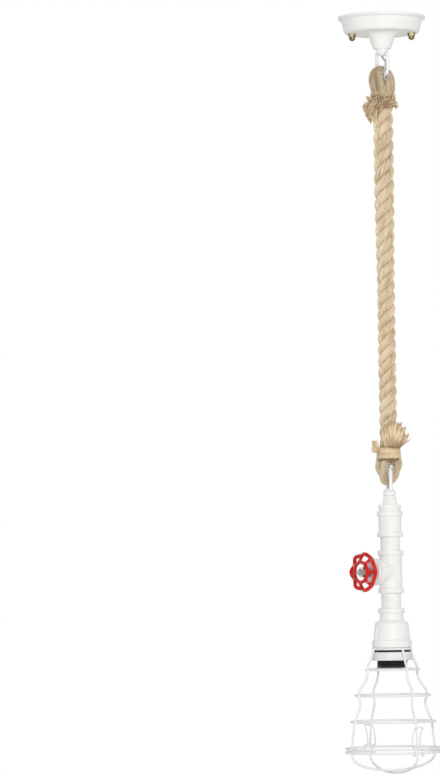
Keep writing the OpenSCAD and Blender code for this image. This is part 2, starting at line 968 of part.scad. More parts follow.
// The wheel faces up, with its inner ring at zero
module wheel_rim() {
    ring_r = wheel_ring_d / 2;
    lobe_r = (wheel_d / 2 - wheel_bar / 2 - ring_r) * lobe_share;
    lobe_at = wheel_d / 2 - wheel_bar / 2 - lobe_r;
    reach = acos((ring_r * ring_r - lobe_at * lobe_at - lobe_r * lobe_r) / (2 * lobe_at * lobe_r));
    ring(wheel_ring_d, ring_bar);
    for (i = [0:lobes - 1])
        rotate([0, 0, 360 * i / lobes])
            translate([ring_r, 0, 0])
                rotate([0, -lobe_tilt, 0])
                    translate([lobe_at - ring_r, 0, 0])
                        rotate([0, 0, -reach])
                            rotate_extrude(angle = 2 * reach)
                                translate([lobe_r, 0])
                                    circle(d = wheel_bar, $fn = 24);
}

module handwheel() {
    ring_r = wheel_ring_d / 2;
    run = ring_r - hub_d / 4;
    tilt = atan(hub_h / 2 / run);
    color(red)
        on_branch()
            translate([0, 0, wheel_reach])
                rotate([0, 0, wheel_turn])
                    difference() {
                        union() {
                            wheel_rim();
                            translate([0, 0, -hub_h])
                                cylinder(d = hub_d, h = hub_h);
                            for (i = [0:spokes - 1])
                                rotate([0, 0, 360 * i / spokes])
                                    translate([hub_d / 4, 0, -hub_h / 2])
                                        rotate([0, 90 - tilt, 0])
                                            cylinder(d1 = spoke_foot_d, d2 = spoke_end_d, h = run / cos(tilt));
                        }
                        translate([0, 0, -hub_h - 1])
                            cylinder(d = stud_end_d + 2 * fit, h = hub_h + hub_d);
                    }
}

module wheel_washer() {
    color(steel)
        on_branch()
            translate([0, 0, wheel_reach])
                tube(washer_d, stud_end_d + 2 * fit, washer_h);
}

module wheel_nut() {
    color(steel)
        on_branch()
            translate([0, 0, wheel_reach + washer_h])
                hex_nut(wheel_nut_af, stud_end_d + 2 * fit, wheel_nut_h);
}

// Lampholder

module stem_bridge() {
    color(steel)
        translate([0, 0, z_reducer - pipe_grip - bridge_h - fit])
            tube(pipe_d - 2 * fit, stem_d + 2 * fit, bridge_h);
}

module stem_nut() {
    color(steel)
        translate([0, 0, z_reducer - pipe_grip - fit])
            hex_nut(stem_nut_af, stem_d + 2 * fit, stem_nut_h);
}

module holder_stem() {
    top = z_reducer - pipe_grip + stem_nut_h + nut_show;
    foot = z_skirt + cap_h / 2;
    color(steel)
        translate([0, 0, foot])
            tube(stem_d, stem_bore, top - foot);
}

module holder_cap() {
    color(black)
        translate([0, 0, z_skirt])
            difference() {
                rotate_extrude()
                    polygon([
                        [0, 0], [holder_d / 2 - cap_inset, 0], [holder_d / 2 - cap_inset, cap_rim_h],
                        [stem_d / 2 + cap_neck_out + edge, cap_shoulder_h], [stem_d / 2 + cap_neck_out, cap_h],
                        [0, cap_h]]);
                translate([0, 0, -1])
                    cylinder(d = stem_bore, h = cap_h + 2);
                translate([0, 0, cap_h / 2])
                    cylinder(d = stem_d + 2 * fit, h = cap_h);
            }
}

// A skirt with a flange, a coarse outside thread drawn as rings, and a roof that carries the inner parts
module holder_skirt() {
    r = holder_d / 2;
    ridges = [for (i = [0:thread_turns - 1]) each [
        [r - thread_depth, i * thread_pitch], [r, (i + 0.3) * thread_pitch], [r, (i + 0.7) * thread_pitch]]];
    color(black)
        translate([0, 0, z_holder])
            difference() {
                union() {
                    rotate_extrude()
                        polygon(concat([[0, 0]], ridges, [
                            [r - thread_depth, thread_turns * thread_pitch],
                            [r - thread_depth, skirt_l], [0, skirt_l]]));
                    translate([0, 0, z_flange - z_holder])
                        cylinder(d = holder_flange_d, h = holder_flange_h);
                }
                translate([0, 0, -1])
                    cylinder(r = r - thread_depth - skirt_wall, h = skirt_l - skirt_roof + 1);
                cylinder(d = stem_bore, h = skirt_l + 1);
            }
}

module contact_block() {
    color(porcelain)
        translate([0, 0, z_skirt - skirt_roof - contact_block_h])
            difference() {
                cylinder(d = block_d, h = contact_block_h);
                translate([0, 0, -1])
                    cylinder(d = contact_well_d, h = contact_well_h + 1);
            }
}

module centre_contact() {
    color(brass)
        translate([0, 0, z_skirt - skirt_roof - contact_block_h + contact_well_h - contact_h])
            cylinder(d = contact_d, h = contact_h);
}

module screw_shell() {
    color(brass)
        translate([0, 0, z_skirt - skirt_roof - contact_block_h - shell_l])
            tube(shell_bore + 2 * shell_wall, shell_bore, shell_l);
}

module lamp_lead() {
    foot = z_skirt;
    top = z_hanger + hanger_h - lead_below_tip;
    color(grey)
        translate([0, 0, foot])
            cylinder(d = core_d, h = top - foot);
}

module shade_ring() {
    r = shade_ring_d / 2;
    h = shade_ring_h;
    color(white)
        translate([0, 0, z_flange - h])
            difference() {
                rotate_extrude()
                    polygon([
                        [0, 0], [r - shade_edge, 0], [r, shade_edge], [r, h - shade_edge],
                        [r - shade_edge, h], [0, h]]);
                translate([0, 0, -1])
                    cylinder(d = holder_d + 2 * fit, h = h + 2);
            }
}

// Cage and guard

module cage_top_ring() {
    color(white)
        translate([0, 0, z_top_ring])
            ring(top_ring_d, ring_wire);
}

module cage_ring_1() {
    color(white)
        translate([0, 0, z_bell - ring_1_drop])
            ring(ring_1_d, ring_wire);
}

module cage_ring_2() {
    color(white)
        translate([0, 0, z_bell - ring_2_drop])
            ring(ring_2_d, ring_wire);
}

module cage_ring_3() {
    color(white)
        translate([0, 0, z_bell - ring_3_drop])
            ring(ring_3_d, ring_wire);
}

module cage_rim() {
    color(white)
        translate([0, 0, z_rim])
            ring(rim_d, ring_wire);
}

// A rib's outline: out over the first ring, a waist, out over the second, a second waist, then to the rim
function rib_line() =
    let (
        r0 = top_ring_d / 2 + rib_out_of_ring, r1 = ring_1_d / 2 + rib_out_of_ring,
        r2 = ring_2_d / 2 + rib_out_of_ring, r3 = ring_3_d / 2 + rib_out_of_ring,
        z1 = -ring_1_drop, z2 = -ring_2_drop, z3 = -ring_3_drop,
        rim_top = -rim_drop + ring_wire / 2 + weld)
    [
        [r0, 0, z_top_ring - z_bell + 0.5], [r0 + 0.6, 0, z_top_ring - z_bell - 3], [r1 - 4.5, 0, z1 + 12],
        [r1 - 0.4, 0, z1 + 4], [r1, 0, z1], [r1 + 0.8, 0, z1 - 9], [r1 + 4.5, 0, z1 - 17],
        [r2 - 2, 0, z2 + 7], [r2, 0, z2], [r2 - 3, 0, z2 - 10], [r2 - 1.5, 0, z2 - 18],
        [r3 - 3, 0, z3 + 6.5], [r3, 0, z3], [rim_d / 2 - 1.6, 0, -rim_drop + 16],
        [rim_d / 2 - 0.2, 0, rim_top]];

module cage_ribs() {
    color(white)
        translate([0, 0, z_bell])
            for (i = [0:3])
                rotate([0, 0, cage_turn + 90 * i])
                    wire(smooth(rib_line(), 3), rib_wire);
}

module guard_ring() {
    color(white)
        translate([0, 0, z_guard])
            ring(rim_d, ring_wire);
}

module guard_bow(depth) {
    top = -ring_wire / 2 - weld;
    wire([for (i = [0:bow_steps]) let (a = 180 * i / bow_steps)
        [rim_d / 2 * cos(a), 0, top - (depth + top) * pow(sin(a), bow_fullness)]], rib_wire);
}

module guard_bows() {
    color(white)
        translate([0, 0, z_guard]) {
            rotate([0, 0, cage_turn])
                guard_bow(guard_depth - rib_wire - 2 * weld);
            rotate([0, 0, clip_turn])
                guard_bow(guard_depth);
        }
}

// One leg of a clip: out from the guard's ring and height over it, from the hooked end to the finger loop
function clip_leg() =
    let (over = guard_gap + (ring_wire + clip_wire) / 2 + clip_room)
    [
        [-2, -2], [-0.8, -3], [1.2, -3.8], [4.4, -3.4], [6.2, -1.2], [5.6, 2.5], [4.4, over - 2.5],
        [3.2, over - 0.4], [0, over], [-3.4, over + 0.2], [-4.3, over + 1.5], [-3.9, over + 6],
        [-2.2, over + 15], [0.5, over + 22], [3.6, over + 25.5]];

module clip() {
    half = clip_w / 2;
    leg = clip_leg();
    top = leg[len(leg) - 1];
    path = concat(
        [for (p = leg) [p.x, half, p.y]],
        [[top.x + 2, half * 0.6, top.y + 1.2], [top.x + 2.4, 0, top.y + 1.5]],
        [[top.x + 2, -half * 0.6, top.y + 1.2]],
        [for (p = backwards(leg)) [p.x, -half, p.y]]);
    translate([rim_d / 2, 0, 0])
        wire(smooth(path, 2), clip_wire);
}

module front_clip() {
    color(white)
        translate([0, 0, z_guard])
            rotate([0, 0, clip_turn + 180])
                clip();
}

module rear_clip() {
    color(white)
        translate([0, 0, z_guard])
            rotate([0, 0, clip_turn])
                clip();
}

canopy_shell();
mounting_crossbar();
canopy_studs();
cap_nuts();
terminal_block();
canopy_lead();
hanger_nipple_top();
funnel_locknut();
upper_hanger();
upper_bail();
upper_eye();
upper_leads();
upper_binding();
upper_tuft();
rope();
core_cable();
lower_tassel();
lower_binding();
lower_eye();
lower_leads();
lower_bail();
lower_hanger();
hanger_nipple();
hanger_locknut();
hex_bushing();
coupling();
upper_nipple();
tee();
branch_plug();
spindle();
handwheel();
wheel_washer();
wheel_nut();
lower_nipple();
reducer();
lamp_lead();
stem_bridge();
stem_nut();
holder_stem();
holder_cap();
holder_skirt();
contact_block();
centre_contact();
screw_shell();
shade_ring();
cage_top_ring();
cage_ring_1();
cage_ring_2();
cage_ring_3();
cage_rim();
cage_ribs();
guard_ring();
guard_bows();
front_clip();
rear_clip();
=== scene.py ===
# Rope pendant lamp: the looks of its canopy, rope, pipe fittings, valve wheel, lampholder and cage
import json
import math
import random

import bmesh
import bpy
from mathutils import Matrix, Vector


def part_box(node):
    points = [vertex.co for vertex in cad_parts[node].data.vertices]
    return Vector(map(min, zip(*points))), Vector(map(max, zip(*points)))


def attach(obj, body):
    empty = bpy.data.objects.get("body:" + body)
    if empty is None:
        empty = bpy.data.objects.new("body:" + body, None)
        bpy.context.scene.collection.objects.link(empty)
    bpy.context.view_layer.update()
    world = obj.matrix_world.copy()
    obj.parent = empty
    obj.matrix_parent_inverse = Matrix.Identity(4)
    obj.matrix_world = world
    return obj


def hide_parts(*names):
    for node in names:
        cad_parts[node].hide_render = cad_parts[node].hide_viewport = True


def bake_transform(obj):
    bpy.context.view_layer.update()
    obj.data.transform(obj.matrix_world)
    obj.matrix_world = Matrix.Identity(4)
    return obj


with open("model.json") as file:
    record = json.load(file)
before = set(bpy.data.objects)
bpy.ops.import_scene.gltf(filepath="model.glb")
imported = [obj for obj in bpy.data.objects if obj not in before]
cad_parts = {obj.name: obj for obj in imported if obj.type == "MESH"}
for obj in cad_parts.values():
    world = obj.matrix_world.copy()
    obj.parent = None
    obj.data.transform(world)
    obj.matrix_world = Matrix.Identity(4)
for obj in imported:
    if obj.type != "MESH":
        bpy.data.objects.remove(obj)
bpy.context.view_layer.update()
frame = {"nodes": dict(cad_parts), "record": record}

MM = 0.001
UP = Vector((0, 0, 1))
JOINTS = {joint["name"]: joint for joint in frame["record"]["behaviour"]["joints"]}
SLOTS = {part["node"]: part["material_slot"] for part in frame["record"]["subparts"]}

# Places taken from the frame

ROPE_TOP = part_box("rope")[1].z
ROPE_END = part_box("rope")[0].z
BAIL_WIRE = 5 * MM
UPPER_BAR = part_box("upper_bail")[0].z + BAIL_WIRE / 2
LOWER_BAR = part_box("lower_bail")[1].z - BAIL_WIRE / 2
BINDING_INSET = 3.5 * MM
BINDING_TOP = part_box("lower_binding")[1].z - BINDING_INSET
BELL_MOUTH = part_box("reducer")[0].z
GUARD_WIRE_RADIUS = 1.5 * MM
GUARD_HEIGHT = (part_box("guard_ring")[0].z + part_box("guard_ring")[1].z) / 2
RIM_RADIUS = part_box("guard_ring")[1].x - GUARD_WIRE_RADIUS


# Material helpers

def blank(name, **sockets):
    """A new material, its node tree and its shader, with the shader's plain values set"""
    material = bpy.data.materials.new(name)
    material.use_nodes = True
    shader = material.node_tree.nodes["Principled BSDF"]
    for socket, value in sockets.items():
        shader.inputs[socket.replace("_", " ")].default_value = value
    return material, material.node_tree, shader


def add(tree, kind, inputs=None, **settings):
    """A node with its settings; an input is a value or another node's output"""
    node = tree.nodes.new("ShaderNode" + kind)
    for name, value in settings.items():
        setattr(node, name, value)
    for socket, value in (inputs or {}).items():
        if isinstance(value, bpy.types.NodeSocket):
            tree.links.new(value, node.inputs[socket])
        else:
            node.inputs[socket].default_value = value
    return node


def sums(tree, operation, *values):
    """The result of one sum on values or other nodes' outputs"""
    return add(tree, "Math", dict(enumerate(values)), operation=operation).outputs[0]


def ramp(tree, factor, *stops):
    """Colours along a factor from 0 to 1, each stop a place and a colour"""
    node = add(tree, "ValToRGB", {"Fac": factor})
    marks = node.color_ramp.elements
    while len(marks) < len(stops):
        marks.new(0.5)
    for mark, (place, colour) in zip(marks, stops):
        mark.position = place
        mark.color = (*colour, 1)
    return node.outputs["Color"]


def multiplied(tree, first, second):
    """One colour multiplied by another"""
    node = add(tree, "Mix", data_type="RGBA", blend_type="MULTIPLY")
    entries = {entry.identifier: entry for entry in node.inputs}
    entries["Factor_Float"].default_value = 1.0
    tree.links.new(first, entries["A_Color"])
    tree.links.new(second, entries["B_Color"])
    return next(result for result in node.outputs if result.identifier == "Result_Color")


def noise(tree, place, scale, detail=4.0, rough=0.55):
    """Noise from 0 to 1 at a texture place"""
    inputs = {"Vector": place, "Scale": scale, "Detail": detail, "Roughness": rough}
    return add(tree, "TexNoise", inputs).outputs["Fac"]


def object_place(tree):
    return add(tree, "TexCoord").outputs["Object"]


def streaks(tree, around, around_scale, run, run_scale, detail, rough):
    """Noise with one scale round a yarn and another along it"""
    inputs = {"X": sums(tree, "MULTIPLY", around, around_scale),
              "Y": sums(tree, "MULTIPLY", run, run_scale)}
    return noise(tree, add(tree, "CombineXYZ", inputs).outputs[0], 1.0, detail, rough)


def relief(tree, shader, height, strength, depth):
    """Fine relief on the shader's surface"""
    bump = add(tree, "Bump", {"Height": height, "Strength": strength, "Distance": depth})
    tree.links.new(bump.outputs["Normal"], shader.inputs["Normal"])


def paint(tree, shader, socket, value):
    tree.links.new(value, shader.inputs[socket])


def grey(value):
    return (value, value, value)


def gloss(tree, shader, factor, first, last):
    """Roughness that goes from one value to another with a factor"""
    paint(tree, shader, "Roughness", ramp(tree, factor, (0.3, grey(first)), (0.7, grey(last))))


# Finishes

DUST = (0.93, 0.92, 0.90)
RED_TONES = (0.30, (0.42, 0.003, 0.003)), (0.50, (0.60, 0.007, 0.005)), (0.72, (0.70, 0.016, 0.010))
BROAD_SHARE = 0.5
NARROW_SHARE = 0.3
PATCH_SHARE = 0.2
# Scales a yarn's run in metres for the painted shade at its roots
PER_CENTIMETRE = 100.0


def white_enamel(name, pale, dull, peel):
    """Sprayed enamel: a faint orange peel, slight clouding and a little uneven gloss"""
    material, tree, shader = blank(name, Specular_IOR_Level=0.3)
    place = object_place(tree)
    cloud = noise(tree, place, scale=38, detail=5)
    specks = noise(tree, place, scale=420, detail=3)
    tone = ramp(tree, cloud, (0.32, dull), (0.55, pale))
    dusty = ramp(tree, specks, (0.28, DUST), (0.40, grey(1)))
    paint(tree, shader, "Base Color", multiplied(tree, tone, dusty))
    gloss(tree, shader, cloud, 0.50, 0.40)
    relief(tree, shader, noise(tree, place, peel, detail=2), strength=0.12, depth=0.15 * MM)
    return material


def red_enamel():
    """Thick glossy enamel over a sand casting"""
    material, tree, shader = blank("red enamel", Specular_IOR_Level=0.5)
    place = object_place(tree)
    cloud = noise(tree, place, scale=90, detail=5)
    paint(tree, shader, "Base Color", ramp(tree, cloud, *RED_TONES))
    gloss(tree, shader, cloud, 0.12, 0.07)
    relief(tree, shader, noise(tree, place, scale=330, detail=3), strength=0.25, depth=0.25 * MM)
    return material


def hemp(name, pale, middle, deep, furrow, root=(1, 1, 1)):
    """Twisted fibre: streaks along each yarn, painted shade in its furrows and at its roots, and
    slow changes of tone
    """
    material, tree, shader = blank(name, Specular_IOR_Level=0.12, Sheen_Weight=0.1,
                                   Sheen_Roughness=0.6, Roughness=0.92)
    along = add(tree, "SeparateXYZ", {0: add(tree, "UVMap").outputs["UV"]})
    around, run = along.outputs["X"], along.outputs["Y"]
    broad = streaks(tree, around, 0.9, run, 22.0, detail=3, rough=0.6)
    narrow = streaks(tree, around, 5.0, run, 130.0, detail=6, rough=0.7)
    grain = streaks(tree, around, 14.0, run, 320.0, detail=4, rough=0.6)
    patches = noise(tree, object_place(tree), scale=55, detail=3)
    blend = sums(tree, "MULTIPLY", patches, PATCH_SHARE)
    blend = sums(tree, "MULTIPLY_ADD", narrow, NARROW_SHARE, blend)
    blend = sums(tree, "MULTIPLY_ADD", broad, BROAD_SHARE, blend)
    tone = ramp(tree, blend, (0.38, deep), (0.49, middle), (0.60, pale))
    # Painted shade: each yarn darkens to the furrow colour towards the furrows between yarns
    from_furrow = sums(tree, "PINGPONG", around, 0.5)
    tone = multiplied(tree, tone, ramp(tree, from_furrow, (0.0, furrow), (0.22, grey(1))))
    # Painted shade: yarns darken to the root colour over about their first centimetre from the root
    from_root = sums(tree, "MULTIPLY", run, PER_CENTIMETRE)
    tone = multiplied(tree, tone, ramp(tree, from_root, (0.1, root), (0.9, grey(1))))
    paint(tree, shader, "Base Color", tone)
    relief(tree, shader, grain, strength=0.6, depth=0.35 * MM)
    return material


def metal(name, pale, dull, smooth, rough, scale):
    """Plated or bare metal with turned marks and duller patches"""
    material, tree, shader = blank(name, Metallic=1.0)
    place = object_place(tree)
    patches = noise(tree, place, scale, detail=5)
    turned = add(tree, "Mapping", {"Vector": place, "Scale": (1, 1, 9)}).outputs[0]
    marks = noise(tree, turned, scale=500, detail=3)
    paint(tree, shader, "Base Color", ramp(tree, patches, (0.35, dull), (0.62, pale)))
    gloss(tree, shader, marks, smooth, rough)
    relief(tree, shader, marks, strength=0.1, depth=0.1 * MM)
    return material


def moulded(name, pale, dull, smooth, rough, grain):
    """Moulded plastic or glaze with a fine grain"""
    material, tree, shader = blank(name, Specular_IOR_Level=0.3)
    place = object_place(tree)
    patches = noise(tree, place, scale=70, detail=4)
    paint(tree, shader, "Base Color", ramp(tree, patches, (0.35, dull), (0.65, pale)))
    gloss(tree, shader, patches, rough, smooth)
    relief(tree, shader, noise(tree, place, grain, detail=2), strength=0.15, depth=0.1 * MM)
    return material


# A hemp's fourth colour is painted shade in its furrows; frayed hemp has none there, and its fifth
# colour is painted shade at its yarns' roots
FINISHES = {
    "white_enamel": white_enamel("white enamel", (0.88, 0.88, 0.86), (0.85, 0.85, 0.83), 750),
    "white_wire": white_enamel("white wire enamel", (0.86, 0.865, 0.85), (0.82, 0.825, 0.81), 1100),
    "red_enamel": red_enamel(),
    "hemp_rope": hemp("laid hemp", (0.92, 0.80, 0.59), (0.80, 0.66, 0.46), (0.52, 0.39, 0.23),
                      (0.52, 0.44, 0.35)),
    "hemp_twine": hemp("hemp twine", (0.93, 0.80, 0.56), (0.83, 0.68, 0.45), (0.62, 0.47, 0.28),
                       (0.55, 0.45, 0.34)),
    "zinc_steel": metal("zinc plate", (0.66, 0.65, 0.62), (0.42, 0.41, 0.38), 0.12, 0.26, 260),
    "aged_brass": metal("aged brass", (0.36, 0.31, 0.17), (0.20, 0.18, 0.11), 0.28, 0.5, 300),
    "black_bakelite": moulded("black moulding", (0.014, 0.015, 0.014), (0.009, 0.009, 0.009),
                              0.42, 0.55, 900),
    "porcelain": moulded("porcelain", (0.80, 0.78, 0.73), (0.76, 0.74, 0.69), 0.12, 0.2, 600),
    "cable_grey": moulded("grey insulation", (0.58, 0.60, 0.60), (0.50, 0.52, 0.52),
                          0.45, 0.55, 700),
    "white_plastic": moulded("white moulding", (0.87, 0.87, 0.87), (0.83, 0.83, 0.83),
                             0.42, 0.55, 800),
}
WORN_HEMP = hemp("worn hemp", (0.76, 0.63, 0.45), (0.60, 0.48, 0.33), (0.34, 0.25, 0.15),
                 (0.50, 0.42, 0.34))
EYE_HEMP = hemp("eye hemp", (0.78, 0.66, 0.47), (0.65, 0.53, 0.36), (0.40, 0.30, 0.18),
                (0.46, 0.38, 0.30))
FRAYED_HEMP = hemp("frayed hemp", (0.95, 0.80, 0.56), (0.77, 0.61, 0.40), (0.38, 0.26, 0.13),
                   grey(1), (0.58, 0.48, 0.39))

for node, carried in frame["nodes"].items():
    for holder in carried.material_slots:
        holder.material = FINISHES[SLOTS[node]]


# Shape helpers

SAME_PLACE = 0.001 * MM
# Points of a strand's outline for each of its yarns
YARN_POINTS = 6
# The stretch of a yarn's texture, away from the painted shade of its furrows, that a plain round
# rod takes
PLAIN_START = 0.5
PLAIN_WIDTH = 0.2


def placed(name, data):
    """A new object in the scene"""
    thing = bpy.data.objects.new(name, data)
    bpy.context.scene.collection.objects.link(thing)
    return thing


def worked_out(holder):
    """The mesh that an object's curve or modifiers make; the object itself goes"""
    evaluated = holder.evaluated_get(bpy.context.evaluated_depsgraph_get())
    mesh = bpy.data.meshes.new_from_object(evaluated)
    bpy.data.objects.remove(holder)
    return mesh


def sealed(shell):
    """Joins points that lie in one place and turns every face outward"""
    bmesh.ops.remove_doubles(shell, verts=shell.verts, dist=SAME_PLACE)
    bmesh.ops.recalc_face_normals(shell, faces=shell.faces)


def mesh_of(shell, name):
    mesh = bpy.data.meshes.new(name)
    shell.to_mesh(mesh)
    shell.free()
    return mesh


def through(points, steps):
    """A smooth path through given points"""
    last = len(points) - 1
    path = []
    for i in range(last):
        a, b, c, d = (points[max(0, min(last, i + k))] for k in (-1, 0, 1, 2))
        for t in (k / steps for k in range(steps)):
            path.append((b * 2 + (c - a) * t + (a * 2 - b * 5 + c * 4 - d) * t ** 2
                         + (b * 3 - a - c * 3 + d) * t ** 3) / 2)
    return path + [points[last]]


def polar(radius, turn, height):
    return Vector((radius * math.cos(turn), radius * math.sin(turn), height))


def run_of(path):
    return sum((b - a).length for a, b in zip(path, path[1:]))


def section(radius, yarns, furrow):
    """Closed outline of a strand, scalloped by its yarns, with its seam in a furrow"""
    outline = bpy.data.curves.new("section", "CURVE")
    line = outline.splines.new("POLY")
    count = yarns * YARN_POINTS
    line.points.add(count - 1)
    for k, spot in enumerate(line.points):
        turn = math.tau * k / count
        reach = radius * (1 - furrow * (1 - abs(math.sin(yarns * turn / 2))))
        spot.co = (reach * math.cos(turn), reach * math.sin(turn), 0, 1)
    line.use_cyclic_u = True
    return placed("section", outline)


def swept(paths, radius, yarns=0, twist=0.0, sides=10, furrow=0.16, taper=None):
    """Mesh of rods along paths: round ones, or strands of yarns that turn by twist each metre"""
    curve = bpy.data.curves.new("sweep", "CURVE")
    curve.dimensions = "3D"
    curve.use_fill_caps = True
    outline = section(radius, yarns, furrow) if yarns else None
    if outline:
        curve.bevel_mode = "OBJECT"
        curve.bevel_object = outline
    else:
        curve.bevel_depth = radius
        curve.bevel_resolution = sides // 2 - 2
    for path in paths:
        line = curve.splines.new("POLY")
        line.points.add(len(path) - 1)
        run = 0
        for k, spot in enumerate(line.points):
            run += (path[k] - path[max(k - 1, 0)]).length
            spot.co = (*path[k], 1)
            spot.tilt = twist * run
            spot.radius = taper(k / (len(path) - 1)) if taper else 1
    mesh = worked_out(placed("sweep", curve))
    if outline:
        bpy.data.objects.remove(outline)
    length = run_of(paths[0])
    for corner in mesh.uv_layers[0].data:
        if yarns:
            around = corner.uv.y * (yarns - 1 / YARN_POINTS)
        else:
            around = PLAIN_START + corner.uv.y * PLAIN_WIDTH
        corner.uv = (around, corner.uv.x * length)
    shell = bmesh.new()
    shell.from_mesh(mesh)
    sealed(shell)
    shell.to_mesh(mesh)
    shell.free()
    return mesh


def joined(*meshes):
    whole = bmesh.new()
    for mesh in meshes:
        whole.from_mesh(mesh)
    return mesh_of(whole, "joined")


def spun(outline, steps=96):
    """A turned shape about the lamp's axis from points of radius and height"""
    shell = bmesh.new()
    verts = [shell.verts.new((radius, 0, height)) for radius, height in outline]
    edges = [shell.edges.new(pair) for pair in zip(verts, verts[1:])]
    bmesh.ops.spin(shell, geom=verts + edges, cent=(0, 0, 0), axis=UP, angle=math.tau, steps=steps,
                   use_merge=True)
    sealed(shell)
    return mesh_of(shell, "spun")


def piece(name, mesh, body, slot, *stands_for, material=None):
    """A finished piece in its slot's finish or a given material, on its body if it has one; the
    nodes that it stands for are hidden
    """
    thing = placed(name, mesh)
    mesh.materials.clear()
    mesh.materials.append(material or FINISHES[slot])
    mesh.shade_smooth()
    if body:
        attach(thing, body)
    if stands_for:
        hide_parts(*stands_for)
    return thing


def beside_bar(joint, height):
    """Places a point given in millimetres along a bail's bar, across it and up from it"""
    along = Vector(JOINTS[joint]["axis"])
    across = UP.cross(along)

    def place(a, b, c):
        return (along * a + across * b + UP * c) * MM + UP * height
    return place


at_upper_bar = beside_bar("upper_bail_swing", UPPER_BAR)
at_lower_bar = beside_bar("lamp_swing", LOWER_BAR)


# Rope

LAY = 48 * MM
LAY_STEP = 2 * MM
STRANDS = 3
STRAND_RADIUS = 5.45 * MM
STRAND_REACH = 6.8 * MM
STRAND_YARNS = 16
YARN_TWIST = -110.0
ROPE_LENGTH = ROPE_TOP - ROPE_END
# Where the looser lay starts and over what share of the rope it comes, and how much it adds
LOOSE_FROM = 0.45
LOOSE_OVER = 0.3
LOOSE_GAIN = 0.13
# Loose hairs: reach and rise in millimetres, lean in radians
HAIRS = 900
HAIR_SEED = 11
HAIR_RADIUS = 0.09 * MM
HAIR_START = 10.6 * MM
HAIR_REACH = (1.0, 3.6)
HAIR_RISE = 4
HAIR_LEAN = 0.5
HAIR_STEPS = (0, 0.4, 0.75, 1)
HAIR_TAPER = 0.7


def fullness(height):
    """The rope is laid more loosely in its upper part"""
    t = min(1, max(0, ((height - ROPE_END) / ROPE_LENGTH - LOOSE_FROM) / LOOSE_OVER))
    return 1.0 + LOOSE_GAIN * t * t * (3 - 2 * t)


def rope_strand(phase):
    """One strand's middle line; where the rope is fuller, each turn is longer too"""
    count = round(ROPE_LENGTH / LAY_STEP)
    path = []
    turn = phase
    for k in range(count + 1):
        height = ROPE_TOP - ROPE_LENGTH * k / count
        path.append(polar(STRAND_REACH * fullness(height), turn, height))
        turn -= math.tau * ROPE_LENGTH / count / (LAY * fullness(height))
    return path


def stray_fibres():
    """Loose hairs that stand off the rope's surface"""
    rng = random.Random(HAIR_SEED)
    paths = []
    for _ in range(HAIRS):
        turn = rng.uniform(0, math.tau)
        height = rng.uniform(ROPE_END, ROPE_TOP)
        lean = rng.uniform(-HAIR_LEAN, HAIR_LEAN)
        reach = rng.uniform(*HAIR_REACH) * MM
        rise = rng.uniform(-HAIR_RISE, HAIR_RISE) * MM
        start = HAIR_START * fullness(height)
        paths.append([polar(start + reach * t, turn + lean * t * t, height + rise * t)
                      for t in HAIR_STEPS])
    return swept(paths, HAIR_RADIUS, sides=4, taper=lambda t: 1 - HAIR_TAPER * t)


strands = swept([rope_strand(math.tau * k / STRANDS) for k in range(STRANDS)],
                STRAND_RADIUS, STRAND_YARNS, YARN_TWIST,
                taper=lambda t: fullness(ROPE_TOP - ROPE_LENGTH * t))
rope = piece("rope_strands", joined(strands, stray_fibres()), "rope", "hemp_rope", "rope")


# Eyes: the rope's strands opened out and turned round the bails' bars

# Points in millimetres along the bail's bar, across it and up from it
UPPER_EYE_REAR = [
    (-3, -7, -31), (-5, -10.5, -18), (-5, -13.4, -7), (-4, -12, 3), (-3.2, -6, 8.2),
    (-3, -0.4, 9.4), (-2.6, 5.2, 8), (-1.5, 10.2, 2.5), (-0.6, 12.6, -6), (1, 12, -17),
    (2, 9, -31)]
UPPER_EYE_FRONT = [
    (6, -6, -31), (7.5, -9, -18), (7, -11.6, -7), (4.6, -10.8, 2.4), (3.2, -5.4, 7.2),
    (2.8, -0.4, 8.2), (3.2, 5, 7), (4, 9.4, 1.8), (4.8, 11.2, -6), (5, 10.8, -17), (5, 8, -31)]
UPPER_EYE_CORE = [
    (6, 1.2, -31), (6.4, 1.2, -18), (5.4, 1.2, -10), (1.5, 1.2, -7.6), (-2.5, 1.2, -11)]
LOWER_EYE_LOAD = [
    (2, -10, 17), (0, -12.4, 8), (-1.5, -13, -1), (-1.5, -9.6, -7.4), (-0.5, -4, -9.6),
    (0, 2, -8.8), (1.2, 8.4, -4.5), (3, 12, 2), (5.6, 11.4, 9), (7.6, 8.4, 17)]
LOWER_EYE_SLACK = [
    (8.6, -4.6, 17), (8, -6.8, 8), (6.2, -8.2, -2), (3.8, -9.4, -10), (1.2, -8.6, -17.2),
    (-0.7, -4.8, -20.5), (-1, 2, -19.4), (-2.4, 6.8, -15.4), (-4, 10.4, -8.5), (-4.2, 11.6, 0),
    (-3, 10, 8), (-2, 8, 17)]
LOWER_EYE_CORE = [(0, -6, 14), (0, -5, 8), (0, 0, 6.2), (0, 5, 8), (0, 6, 14)]
EYE_STEPS = 7
EYE_TWIST = -18.0
EYE_FURROW = 0.14
# Path, radius in millimetres, number of yarns and waist of each strand
UPPER_EYE = [(UPPER_EYE_REAR, 5.4, 22, 0.0), (UPPER_EYE_FRONT, 5.4, 22, 0.2),
             (UPPER_EYE_CORE, 5.0, 20, 0.0)]
LOWER_EYE = [(LOWER_EYE_LOAD, 5.4, 22, 0.0), (LOWER_EYE_SLACK, 5.0, 21, 0.27),
             (LOWER_EYE_CORE, 3.5, 14, 0.0)]


def eye_strand(place, points, radius, yarns, waist):
    """A strand through an eye, pressed thinner at its middle by the waist's share"""
    path = through([place(*point) for point in points], EYE_STEPS)
    return swept([path], radius * MM, yarns, EYE_TWIST, furrow=EYE_FURROW,
                 taper=lambda t: 1 - waist * math.sin(math.pi * t) ** 4)


def eye(place, made_of):
    return joined(*(eye_strand(place, *strand) for strand in made_of))


